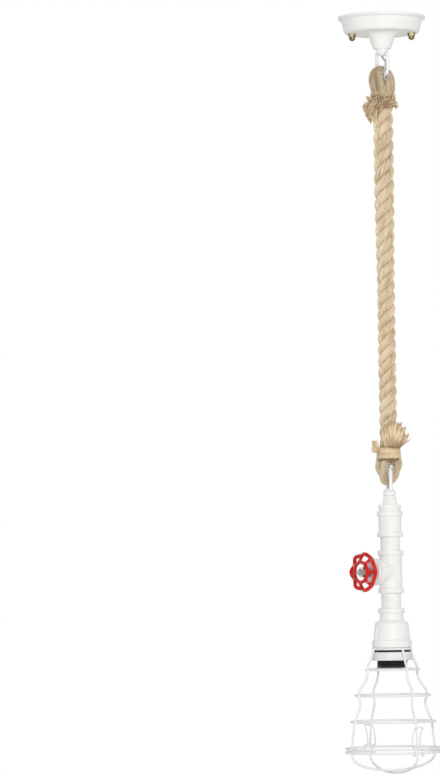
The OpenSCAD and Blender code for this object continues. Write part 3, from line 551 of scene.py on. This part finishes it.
piece("upper_eye_strands", eye(at_upper_bar, UPPER_EYE), "rope", "hemp_rope", "upper_eye",
      material=WORN_HEMP)
piece("lower_eye_strands", eye(at_lower_bar, LOWER_EYE), "rope", "hemp_rope", "lower_eye",
      material=EYE_HEMP)


# Bindings

TWINE_RADIUS = 0.85 * MM
TWINE_PLIES = 2
TWINE_TWIST = 1500.0
TWINE_FURROW = 0.3
TWINE_POINTS = 48
CORE_BORE = 11 * MM
CORE_CROWN = 2 * MM
CORE_SHOULDER = 0.8
CORE_POINTS = 64
LOWER_BINDING_HEIGHT = 20 * MM
LOWER_BINDING = (BINDING_TOP - LOWER_BINDING_HEIGHT, BINDING_TOP)
LOWER_CORE_RADII = (16 * MM, 14.6 * MM)
LOWER_TWINE_RADII = (16.6 * MM, 15.2 * MM)
LOWER_TURNS = 12
UPPER_BINDING = (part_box("upper_binding")[0].z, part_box("upper_binding")[1].z)
UPPER_CORE_RADII = (14.4 * MM, 13.8 * MM)
UPPER_TWINE_RADII = (14.8 * MM, 14.2 * MM)
UPPER_TURNS = 5


def winding(ends, radii, turns):
    """A tight helix of twine that follows a slight cone, 1 mm inside the binding's ends"""
    low, high = ends[0] + MM, ends[1] - MM
    count = turns * TWINE_POINTS
    path = []
    for k in range(count + 1):
        t = k / count
        radius = radii[0] + (radii[1] - radii[0]) * t
        path.append(polar(radius, math.tau * turns * t, low + (high - low) * t))
    return swept([path], TWINE_RADIUS, TWINE_PLIES, TWINE_TWIST, furrow=TWINE_FURROW)


def wrapped_core(ends, radii):
    """What the twine is wound on: strand ends laid against the rope; with no UV map, it takes its
    hemp's furrow colour all over, painted shade between the twine's turns
    """
    low, high = ends
    return spun([
        (CORE_BORE, low), (radii[0] * CORE_SHOULDER, low), (radii[0], low + CORE_CROWN),
        (radii[1], high - CORE_CROWN), (radii[1] * CORE_SHOULDER, high), (CORE_BORE, high)],
        CORE_POINTS)


piece("lower_binding_core", wrapped_core(LOWER_BINDING, LOWER_CORE_RADII), "rope", "hemp_rope",
      material=EYE_HEMP)
piece("lower_binding_twine", winding(LOWER_BINDING, LOWER_TWINE_RADII, LOWER_TURNS), "rope",
      "hemp_twine", "lower_binding")
piece("upper_binding_core", wrapped_core(UPPER_BINDING, UPPER_CORE_RADII), "rope", "hemp_rope",
      material=WORN_HEMP)
piece("upper_binding_twine", winding(UPPER_BINDING, UPPER_TWINE_RADII, UPPER_TURNS), "rope",
      "hemp_twine", "upper_binding", material=WORN_HEMP)


# Frayed strand ends: lengths in millimetres, sways and turns in radians

# Each tuft's jitter is given at a yarn's middle and tip, and the locks' at its root and middle
YARN_STEPS = 4
YARN_TAPER = 0.35
TUFT_SEED = 5
TUFT_ROOT = 12.4
TUFT_YARN = 0.85
BRUSH_YARNS = 190
BRUSH_ROOT_DROP = (4, 14)
BRUSH_REACH = 15
BRUSH_FLARE = 6.5
BRUSH_LEFT_FLARE = 8
BRUSH_SWAY = 0.3
BRUSH_RISE = 9
BRUSH_FALL = 20
BRUSH_BULGE = 2.0
BRUSH_JITTER = (1.2, 2.2)
LUMP_YARNS = 130
LUMP_TURNS = (-0.75, 1.1)
LUMP_SWAY = 0.25
LUMP_ROOT_DROP = 4
LUMP_ROOT_FALL = 14
LUMP_REACH = 29
LUMP_TUCK = 11
LUMP_DROP = 9
LUMP_FALL = 22
LUMP_BULGE = (2.0, 2.5)
LUMP_MIDDLE = 0.55
LUMP_JITTER = (0.9, 1.4)
# Root, tip and number of yarns of each lock, from the middle of the lower binding's top
TASSEL_LOCKS = [
    ((-4, -13.5, -1), (-7, -16, 21), 46), ((-1, -14, -1), (-3, -17.5, 27), 54),
    ((2, -14.5, -1), (3, -18.5, 31), 56), ((5, -14, -1), (9, -17.5, 32), 56),
    ((8.5, -13, -1), (16, -15.5, 30), 56), ((11, -11, -1), (21, -13, 24), 54),
    ((12.5, -9, -1), (25, -10, 16), 30), ((13.5, -7, -1), (28, -7.5, 10), 14),
    ((13, -5, -1), (20, -3, 21), 40), ((7, -14, -1), (12, -17, 22), 40),
    ((10, -12, -1), (18, -14, 17), 40)]
TASSEL_SPREAD = 3.0
TASSEL_SEED = 8
STUB_LOCKS = [((-12.5, -7, -6), (-19, -8.5, 6), 60), ((-12.5, -8, -7), (-20, -9, -3), 60)]
STUB_SPREAD = 3.8
STUB_SEED = 9
LOCK_YARN = 0.68
LOCK_LENGTHS = (0.85, 1.04)
LOCK_BULGE = -1.8
LOCK_JITTER = (1.5, 0.5)


def jitter(rng, reach):
    return Vector([rng.uniform(-reach, reach) * MM for _ in range(3)])


def yarns(paths, radius):
    """Thin round yarns that taper to their tips"""
    return swept(paths, radius * MM, sides=6, taper=lambda t: 1 - YARN_TAPER * t * t)


def upper_tuft():
    """A collar of yarns that flares like a shaving brush, and a lump that droops on the left"""
    rng = random.Random(TUFT_SEED)
    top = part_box("upper_tuft")[1].z
    paths = []
    for _ in range(BRUSH_YARNS):
        turn = rng.uniform(0, math.tau)
        left = max(0, -math.cos(turn))
        open_out = rng.random()
        root = polar(TUFT_ROOT * MM, turn, top - rng.uniform(*BRUSH_ROOT_DROP) * MM)
        reach = BRUSH_REACH + BRUSH_FLARE * open_out + BRUSH_LEFT_FLARE * left * rng.random()
        tip = polar(reach * MM, turn + rng.uniform(-BRUSH_SWAY, BRUSH_SWAY),
                    top + (BRUSH_RISE - BRUSH_FALL * open_out) * MM)
        middle = root.lerp(tip, 0.5) + UP * BRUSH_BULGE * MM + jitter(rng, BRUSH_JITTER[0])
        paths.append(through([root, middle, tip + jitter(rng, BRUSH_JITTER[1])], YARN_STEPS))
    for _ in range(LUMP_YARNS):
        turn = math.pi + rng.uniform(*LUMP_TURNS)
        droop = rng.random()
        root = polar(TUFT_ROOT * MM, turn, top - (LUMP_ROOT_DROP + LUMP_ROOT_FALL * droop) * MM)
        tip = polar((LUMP_REACH - LUMP_TUCK * droop) * MM,
                    turn + rng.uniform(-LUMP_SWAY, LUMP_SWAY),
                    top - (LUMP_DROP + LUMP_FALL * droop) * MM)
        bulge = polar(LUMP_BULGE[0] * MM, turn, LUMP_BULGE[1] * MM)
        middle = root.lerp(tip, LUMP_MIDDLE) + bulge + jitter(rng, LUMP_JITTER[0])
        paths.append(through([root, middle, tip + jitter(rng, LUMP_JITTER[1])], YARN_STEPS))
    return yarns(paths, TUFT_YARN)


def locks(places, spread, seed):
    """Bundles of yarns that open out from their roots to their tips"""
    rng = random.Random(seed)
    paths = []
    for root, tip, count in places:
        for _ in range(count):
            start = Vector(root) * MM + jitter(rng, LOCK_JITTER[0])
            end = Vector(root).lerp(Vector(tip), rng.uniform(*LOCK_LENGTHS)) * MM
            end += jitter(rng, spread)
            bulge = Vector((0, LOCK_BULGE * MM, 0))
            middle = start.lerp(end, 0.5) + bulge + jitter(rng, LOCK_JITTER[1])
            path = through([start, middle, end], YARN_STEPS)
            paths.append([spot + UP * BINDING_TOP for spot in path])
    return yarns(paths, LOCK_YARN)


lower_tassel = joined(locks(TASSEL_LOCKS, TASSEL_SPREAD, TASSEL_SEED),
                      locks(STUB_LOCKS, STUB_SPREAD, STUB_SEED))
piece("upper_tuft_yarns", upper_tuft(), "rope", "hemp_rope", "upper_tuft", material=FRAYED_HEMP)
piece("lower_tassel_yarns", lower_tassel, "rope", "hemp_rope", "lower_tassel",
      material=FRAYED_HEMP)


# Twin wires beside the bails

LEAD_RADIUS = 0.9 * MM
LEAD_SIDES = 12
LEAD_STEPS = 6
UPPER_ROUTE = [
    (0.5, 1.1, 27.7), (0.6, 1.1, 26.1), (3.6, 1.3, 22.6), (7, 1.2, 19.3), (7.8, 1.2, 14.3),
    (7.9, 2.6, 9.8), (8, 3.9, 5.3), (8.2, 4, 1.3), (7.6, 2.2, -3.7), (4, 1.4, -9.7),
    (1.2, 1.2, -15.7), (1.1, 1.1, -22.9)]
UPPER_SPLIT = 4
LOWER_ROUTE = [
    (1.1, 1.1, 10.8), (1.5, 1.4, 8.3), (5, 3.2, 4.3), (7.6, 4, -0.2), (8, 3.9, -5.2),
    (7.9, 2.6, -9.7), (7.9, 1.3, -14.7), (7.9, 1.2, -19.7), (6, 1.2, -23.8), (2.2, 1.1, -25.4),
    (0.6, 1, -26.5), (0.5, 1, -27.6)]
LOWER_SPLIT = 6


def twin_wires(name, place, route, stands_for):
    """Both wires over a stretch of the route"""
    paths = [through([place(a, side * b, c) for a, b, c in route], LEAD_STEPS) for side in (-1, 1)]
    mesh = swept(paths, LEAD_RADIUS, sides=LEAD_SIDES)
    wires = piece(name, mesh, None, "cable_grey", *stands_for)
    start, end = place(0, 0, route[0][2]), place(0, 0, route[-1][2])
    tuple(start)
    tuple(end)
    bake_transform(wires)


twin_wires("upper_lead_top", at_upper_bar, UPPER_ROUTE[:UPPER_SPLIT + 1],
           ("upper_leads",))
twin_wires("upper_lead_foot", at_upper_bar, UPPER_ROUTE[UPPER_SPLIT:],
           ())
twin_wires("lower_lead_top", at_lower_bar, LOWER_ROUTE[:LOWER_SPLIT + 1],
           ("lower_leads",))
twin_wires("lower_lead_foot", at_lower_bar, LOWER_ROUTE[LOWER_SPLIT:],
           ())


# Cast fittings

SKIN_GAP = 0.005 * MM
SOFTENING = 0.5


def copy_of(node):
    """A node's mesh as one skin"""
    merged = bmesh.new()
    merged.from_mesh(frame["nodes"][node].data)
    bmesh.ops.remove_doubles(merged, verts=merged.verts, dist=SKIN_GAP)
    return mesh_of(merged, node)


def cast(start, voxel, rounds, swell):
    """One skin over a mesh's shapes, with their inside corners and edges softened"""
    holder = placed("cast", start)
    remesh = holder.modifiers.new("cast", "REMESH")
    remesh.mode = "VOXEL"
    remesh.voxel_size = voxel
    soften = holder.modifiers.new("soften", "SMOOTH")
    soften.factor = SOFTENING
    soften.iterations = rounds
    fatten = holder.modifiers.new("fatten", "DISPLACE")
    fatten.strength = swell
    fatten.mid_level = 0
    return worked_out(holder)


WHEEL = JOINTS["handwheel_turn"]
WHEEL_PIVOT = Vector(WHEEL["pos_m"])
WHEEL_OUT = Vector(WHEEL["axis"])
WHEEL_SEAT = min((vert.co - WHEEL_PIVOT).dot(WHEEL_OUT)
                 for vert in frame["nodes"]["wheel_washer"].data.vertices)
WHEEL_FRAME = (Matrix.Translation(WHEEL_PIVOT + WHEEL_OUT * WHEEL_SEAT)
               @ Matrix((UP.cross(WHEEL_OUT), UP, WHEEL_OUT)).transposed().to_4x4())
WHEEL_SIDES = 20
LOBES = 7
# Radius and height of the rim between its lobes, and what a lobe adds, in millimetres
WHEEL_RIM_REACH = 23.2
WHEEL_RIM_HEIGHT = -2.0
LOBE_REACH = 1.7
LOBE_RISE = 3.0
WHEEL_RIM_ROD = 2.5 * MM
WHEEL_RIM_POINTS = 168
RING_RADIUS = 13.5 * MM
RING_RISE = 4.6 * MM
RING_ROD = 2.2 * MM
RING_POINTS = 72
BAR_ROD = 2.1 * MM
BAR_FLARE = 0.3
SPOKE_ROD = 2.4 * MM
SPOKE_TAPER = 0.2
SPOKE_TURNS = (math.pi / 3, math.pi, -math.pi / 3)
SPOKE_ROOT = 0.75
ROD_STEPS = 8
HUB_RADIUS = 7 * MM
HUB_BORE = 3.2 * MM
HUB_HEIGHT = 7 * MM
HUB_POINTS = 48
WHEEL_CAST = {"voxel": 0.42 * MM, "rounds": 5, "swell": 0.2 * MM}
TEE_CAST = {"voxel": 0.6 * MM, "rounds": 4, "swell": 0.05 * MM}


def rim_place(turn):
    """The rim stands out and forward in each lobe, and lies in and back where a bar meets it"""
    swell = math.sin(LOBES * turn / 2) ** 2
    return polar((WHEEL_RIM_REACH + LOBE_REACH * swell) * MM, turn,
                 (WHEEL_RIM_HEIGHT + LOBE_RISE * swell) * MM)


def straight(start, end):
    return [start.lerp(end, t / ROD_STEPS) for t in range(ROD_STEPS + 1)]


def wheel_shapes():
    """Hub, spokes, ring, bars and lobed rim of the wheel, as separate rods"""
    ring = [polar(RING_RADIUS, math.tau * k / RING_POINTS, RING_RISE)
            for k in range(RING_POINTS + 1)]
    rim = [rim_place(math.tau * k / WHEEL_RIM_POINTS) for k in range(WHEEL_RIM_POINTS + 1)]
    bars = [straight(polar(RING_RADIUS, turn, RING_RISE), rim_place(turn))
            for turn in (math.tau * k / LOBES for k in range(LOBES))]
    spokes = [straight(polar(SPOKE_ROOT * HUB_RADIUS, turn, -HUB_HEIGHT / 2),
                       polar(RING_RADIUS, turn, RING_RISE)) for turn in SPOKE_TURNS]
    hub = spun([(HUB_BORE, -HUB_HEIGHT), (HUB_RADIUS, -HUB_HEIGHT), (HUB_RADIUS, 0),
                (HUB_BORE, 0), (HUB_BORE, -HUB_HEIGHT)], HUB_POINTS)
    shapes = joined(
        swept([ring], RING_ROD, sides=WHEEL_SIDES), swept([rim], WHEEL_RIM_ROD, sides=WHEEL_SIDES),
        hub,
        swept(bars, BAR_ROD, sides=WHEEL_SIDES, taper=lambda t: 1 + BAR_FLARE * (2 * t - 1) ** 2),
        swept(spokes, SPOKE_ROD, sides=WHEEL_SIDES, taper=lambda t: 1 - SPOKE_TAPER * t))
    shapes.transform(WHEEL_FRAME)
    return shapes


piece("handwheel_casting", cast(wheel_shapes(), **WHEEL_CAST), "handwheel", "red_enamel",
      "handwheel")
piece("tee_casting", cast(copy_of("tee"), **TEE_CAST), "lamp", "white_enamel", "tee")


# Softened edges of the turned and cast nodes, in millimetres

SOFT_EDGES = {"coupling": 0.5, "hex_bushing": 0.45, "reducer": 0.5, "branch_plug": 0.4,
              "hanger_locknut": 0.4, "wheel_nut": 0.3, "wheel_washer": 0.15, "cap_nuts": 0.3}
SHARP_ANGLE = math.radians(28)
EDGE_GAP = 0.01 * MM
EDGE_STEPS = 3

for node, width in SOFT_EDGES.items():
    carried = frame["nodes"][node]
    weld = carried.modifiers.new("weld", "WELD")
    weld.merge_threshold = EDGE_GAP
    bevel = carried.modifiers.new("soft edges", "BEVEL")
    bevel.width = width * MM
    bevel.segments = EDGE_STEPS
    bevel.limit_method = "ANGLE"
    bevel.angle_limit = SHARP_ANGLE
    bevel.harden_normals = False


# Lampholder

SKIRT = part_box("holder_skirt")
SKIRT_RADIUS = 20.8 * MM
SKIRT_WALL = 2.6 * MM
SKIRT_ROOF = 3 * MM
SKIRT_EDGE = 0.4 * MM
STEM_BORE = 3.2 * MM
THREAD_DEPTH = 0.9 * MM
THREAD_PITCH = 2.6 * MM
THREAD_TURNS = 8
THREAD_START = 1.2 * MM
THREAD_POINTS = 72
THREAD_FADE = 30
THREAD_TIP = 0.1
FLANGE_RADIUS = (SKIRT[1].x - SKIRT[0].x) / 2
FLANGE_HEIGHT = 2.4 * MM
SHADE_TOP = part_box("shade_ring")[1].z
KNURL_TEETH = 150
KNURL_ROWS = 8
KNURL_EDGE = 1.0 * MM
KNURL_DEPTH = 0.6 * MM
KNURL_TOLERANCE = 0.1 * MM
RING_CLEARANCE = 0.1 * MM


def faded(t):
    """Full in the middle and running out at both ends"""
    return min(1, THREAD_FADE * t + THREAD_TIP, THREAD_FADE * (1 - t) + THREAD_TIP)


def holder_skirt():
    """Skirt and flange, with a thread wound on as a ridge that fades at both ends"""
    foot, top = SKIRT[0].z, SKIRT[1].z
    root = SKIRT_RADIUS - THREAD_DEPTH
    bore, edge, roof = root - SKIRT_WALL, SKIRT_EDGE, top - SKIRT_ROOF
    flange_top = SHADE_TOP + FLANGE_HEIGHT
    body = spun([
        (bore, roof), (bore, foot + edge), (bore + edge, foot), (root - edge, foot),
        (root, foot + edge), (root, SHADE_TOP), (FLANGE_RADIUS - edge, SHADE_TOP),
        (FLANGE_RADIUS, SHADE_TOP + edge), (FLANGE_RADIUS, flange_top - edge),
        (FLANGE_RADIUS - edge, flange_top), (root, flange_top), (root, top), (STEM_BORE, top),
        (STEM_BORE, roof), (bore, roof)])
    count = THREAD_TURNS * THREAD_POINTS
    helix = [polar(root, math.tau * THREAD_TURNS * k / count,
                   foot + THREAD_START + THREAD_PITCH * THREAD_TURNS * k / count)
             for k in range(count + 1)]
    return joined(body, swept([helix], THREAD_DEPTH, sides=10, taper=faded))


def knurled_ring():
    """A ring with a diamond knurl round its side"""
    low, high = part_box("shade_ring")
    outer, bore = (high.x - low.x) / 2, SKIRT_RADIUS + RING_CLEARANCE
    foot = low.z + KNURL_EDGE
    rise = (high.z - low.z - 2 * KNURL_EDGE) / KNURL_ROWS
    side = [(outer, foot + rise * k) for k in range(KNURL_ROWS + 1)]
    mesh = spun([(bore, low.z), (outer - KNURL_EDGE, low.z), *side, (outer - KNURL_EDGE, high.z),
                 (bore, high.z), (bore, low.z)], KNURL_TEETH)
    for vert in mesh.vertices:
        turn = math.atan2(vert.co.y, vert.co.x)
        step = round(turn / math.tau * KNURL_TEETH) + round((vert.co.z - foot) / rise)
        if step % 2 and math.hypot(vert.co.x, vert.co.y) > outer - KNURL_TOLERANCE:
            vert.co = polar(outer - KNURL_DEPTH, turn, vert.co.z)
    return mesh


piece("holder_skirt_moulding", holder_skirt(), "lamp", "black_bakelite", "holder_skirt")
piece("shade_ring_knurled", knurled_ring(), "lamp", "white_plastic", "shade_ring")


# Cage, guard and clips, their points in millimetres

QUARTER = math.pi / 2
CAGE_TURN = math.radians(30)
RIBS = 4
RIB_RADIUS = 1.6 * MM
RIB_SIDES = 16
# Radius and height of each point of a rib, from the bell's mouth
RIB_LINE = [
    (28.95, -1.3), (29.55, -4.8), (34.4, -17.7), (38.5, -25.7), (38.9, -29.7), (39.7, -38.7),
    (43.4, -46.7), (51.6, -57.5), (53.6, -64.5), (50.6, -74.5), (52.1, -82.5), (57.1, -93.5),
    (60.1, -100), (62.8, -120), (64.2, -134.4)]
RING_NODES = ("cage_top_ring", "cage_ring_1", "cage_ring_2", "cage_ring_3", "cage_rim")
BEAD_RADIUS = 1.9 * MM
BEAD_SQUASH = 0.8
BEAD_INSET = 0.2 * MM
BOW_TOP = -1.6
BOW_FULLNESS = 0.8
BOW_DEPTHS = (24.6, 28.0)
BOW_CROSSING = 26.3
BOW_POINTS = 48
CLIP_RADIUS = 1.0 * MM
CLIP_SIDES = 14
CLIP_HALF = 6.0
# Outward and upward from the guard's ring
CLIP_LEG = [
    (-2, -2), (-0.8, -3), (1.2, -3.8), (4.4, -3.4), (6.2, -1.2), (5.6, 2.5), (4.4, 5.4),
    (3.2, 7.5), (0, 7.9), (-3.4, 8.1), (-4.3, 9.4), (-3.9, 13.9), (-2.2, 22.9), (0.5, 29.9),
    (3.6, 33.4)]
CLIP_BEND = [(5.6, 3.6, 34.6), (6, 0, 34.9), (5.6, -3.6, 34.6)]
WIRE_STEPS = 6


def beads(places):
    """Small weld beads, flattened a little"""
    lumps = bmesh.new()
    for place in places:
        made = bmesh.ops.create_icosphere(lumps, subdivisions=3, radius=BEAD_RADIUS)["verts"]
        bmesh.ops.scale(lumps, verts=made, vec=(1, 1, BEAD_SQUASH))
        bmesh.ops.translate(lumps, verts=made, vec=place)
    return mesh_of(lumps, "beads")


def cage_ribs():
    """The ribs, each with a bead on every ring that it crosses"""
    paths = []
    welds = []
    for turn in (CAGE_TURN + k * QUARTER for k in range(RIBS)):
        points = [polar(r * MM, turn, BELL_MOUTH + z * MM) for r, z in RIB_LINE]
        paths.append(through(points, WIRE_STEPS))
        for node in RING_NODES:
            low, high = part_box(node)
            welds.append(polar(high.x - BEAD_INSET, turn, (low.z + high.z) / 2))
    return joined(swept(paths, RIB_RADIUS, sides=RIB_SIDES), beads(welds))


def guard_bow(turn, depth):
    """One bow from side to side under the guard's ring"""
    path = []
    for k in range(BOW_POINTS + 1):
        a = math.pi * k / BOW_POINTS
        drop = BOW_TOP
        if 0 < k < BOW_POINTS:
            drop = BOW_TOP - (depth + BOW_TOP) * math.sin(a) ** BOW_FULLNESS
        path.append(polar(RIM_RADIUS * math.cos(a), turn, GUARD_HEIGHT + drop * MM))
    return path


def guard_bows():
    """Two crossed bows, with a bead at each end and one where they cross"""
    paths = [guard_bow(CAGE_TURN + k * QUARTER, depth) for k, depth in enumerate(BOW_DEPTHS)]
    welds = [polar(RIM_RADIUS, CAGE_TURN + k * QUARTER, GUARD_HEIGHT - MM) for k in range(RIBS)]
    welds.append(Vector((0, 0, GUARD_HEIGHT - BOW_CROSSING * MM)))
    return joined(swept(paths, RIB_RADIUS, sides=RIB_SIDES), beads(welds))


def clip(turn):
    """One wire bent up one leg of the clip, over its top and down the other leg"""
    out, side = polar(1, turn, 0), polar(1, turn + QUARTER, 0)
    points = [(e, CLIP_HALF, h) for e, h in CLIP_LEG] + CLIP_BEND
    points += [(e, -CLIP_HALF, h) for e, h in CLIP_LEG[::-1]]
    path = [out * (RIM_RADIUS + e * MM) + side * (u * MM) + UP * (GUARD_HEIGHT + h * MM)
            for e, u, h in points]
    return swept([through(path, WIRE_STEPS)], CLIP_RADIUS, sides=CLIP_SIDES)


piece("cage_rib_wires", cage_ribs(), "lamp", "white_wire", "cage_ribs")
piece("guard_bow_wires", guard_bows(), "guard", "white_wire", "guard_bows")
piece("front_clip_wire", clip(CAGE_TURN - QUARTER), "front_clip", "white_wire", "front_clip")
piece("rear_clip_wire", clip(CAGE_TURN + QUARTER), "rear_clip", "white_wire", "rear_clip")


# Floor, light and camera

WHITE = (1, 1, 1, 1)
FLOOR_HEIGHT = -1.25
FLOOR_SIZE = 7.0
FLOOR_LIFT = 0.35
ROOM_STRENGTH = 0.64
REFLECTED_ROOM = {"From Min": -0.6, "From Max": 0.15, "To Min": 0.15, "To Max": 1.0}
KEY_PLACE = (0.35, -3.25, -0.2)
KEY_AIM = (0, 0, -0.6)
KEY_SIZE = 0.6
KEY_POWER = 41
CAMERA_PLACE = (0, -5.53, -0.775)
CAMERA_LENS = 189
CAMERA_SENSOR = 36
CAMERA_REACH = 50
CAMERA_PAN = math.radians(2.362)
CAMERA_PITCH = math.radians(2.816)
CAMERA_ROLL = math.radians(-0.85)


def pale_floor():
    """A pale floor, lifted a little towards the backdrop's white where the camera sees it"""
    sheet = bmesh.new()
    bmesh.ops.create_grid(sheet, x_segments=1, y_segments=1, size=FLOOR_SIZE / 2)
    bmesh.ops.translate(sheet, verts=sheet.verts, vec=(0, 0, FLOOR_HEIGHT))
    mesh = mesh_of(sheet, "floor")
    floor = placed("floor", mesh)
    material, tree, shader = blank("pale floor", Roughness=0.8, Emission_Color=WHITE)
    cloud = noise(tree, object_place(tree), scale=3)
    paint(tree, shader, "Base Color", ramp(tree, cloud, (0.3, grey(0.86)), (0.7, grey(0.90))))
    seen = add(tree, "LightPath").outputs["Is Camera Ray"]
    paint(tree, shader, "Emission Strength", sums(tree, "MULTIPLY", seen, FLOOR_LIFT))
    mesh.materials.append(material)


def studio_world():
    """Soft light all round, a white backdrop ahead, and a dimmer room behind in reflections"""
    world = bpy.data.worlds.new("studio")
    bpy.context.scene.world = world
    world.use_nodes = True
    tree = world.node_tree
    tree.nodes.clear()
    path = add(tree, "LightPath")
    camera_ray, glossy_ray = path.outputs["Is Camera Ray"], path.outputs["Is Glossy Ray"]
    seen = sums(tree, "MAXIMUM", camera_ray, path.outputs["Is Transmission Ray"])
    direction = add(tree, "TexCoord").outputs["Generated"]
    ahead = add(tree, "SeparateXYZ", {0: direction}).outputs["Y"]
    reflected = add(tree, "MapRange", {"Value": ahead, **REFLECTED_ROOM}).outputs["Result"]
    backdrop = sums(tree, "MAXIMUM", seen, reflected)
    room = add(tree, "Background", {"Color": WHITE, "Strength": ROOM_STRENGTH})
    white = add(tree, "Background", {"Color": WHITE, "Strength": backdrop})
    direct = sums(tree, "MAXIMUM", seen, glossy_ray)
    chosen = add(tree, "MixShader", {0: direct, 1: room.outputs[0], 2: white.outputs[0]})
    output = add(tree, "OutputWorld", {"Surface": chosen.outputs[0]})
    output.is_active_output = True


def key_light():
    """One soft disk of light from the front, above and to the right"""
    light = bpy.data.lights.new("key", "AREA")
    light.shape = "DISK"
    light.size = KEY_SIZE
    light.energy = KEY_POWER
    holder = placed("key", light)
    holder.location = KEY_PLACE
    towards = Vector(KEY_AIM) - Vector(KEY_PLACE)
    holder.rotation_euler = towards.to_track_quat("-Z", "Y").to_euler()


def camera():
    """A long lens from the front, panned, pitched and rolled to the photo's view"""
    lens = bpy.data.cameras.new("camera")
    lens.lens = CAMERA_LENS
    lens.sensor_width = CAMERA_SENSOR
    lens.clip_end = CAMERA_REACH
    holder = placed("camera", lens)
    pan = Matrix.Rotation(CAMERA_PAN, 4, "Z")
    pitch = Matrix.Rotation(math.pi / 2 + CAMERA_PITCH, 4, "X")
    roll = Matrix.Rotation(CAMERA_ROLL, 4, "Z")
    holder.matrix_world = Matrix.Translation(CAMERA_PLACE) @ (pan @ pitch) @ roll
    bpy.context.scene.camera = holder


pale_floor()
studio_world()
key_light()
camera()
bpy.context.scene.view_settings.view_transform = "Standard"
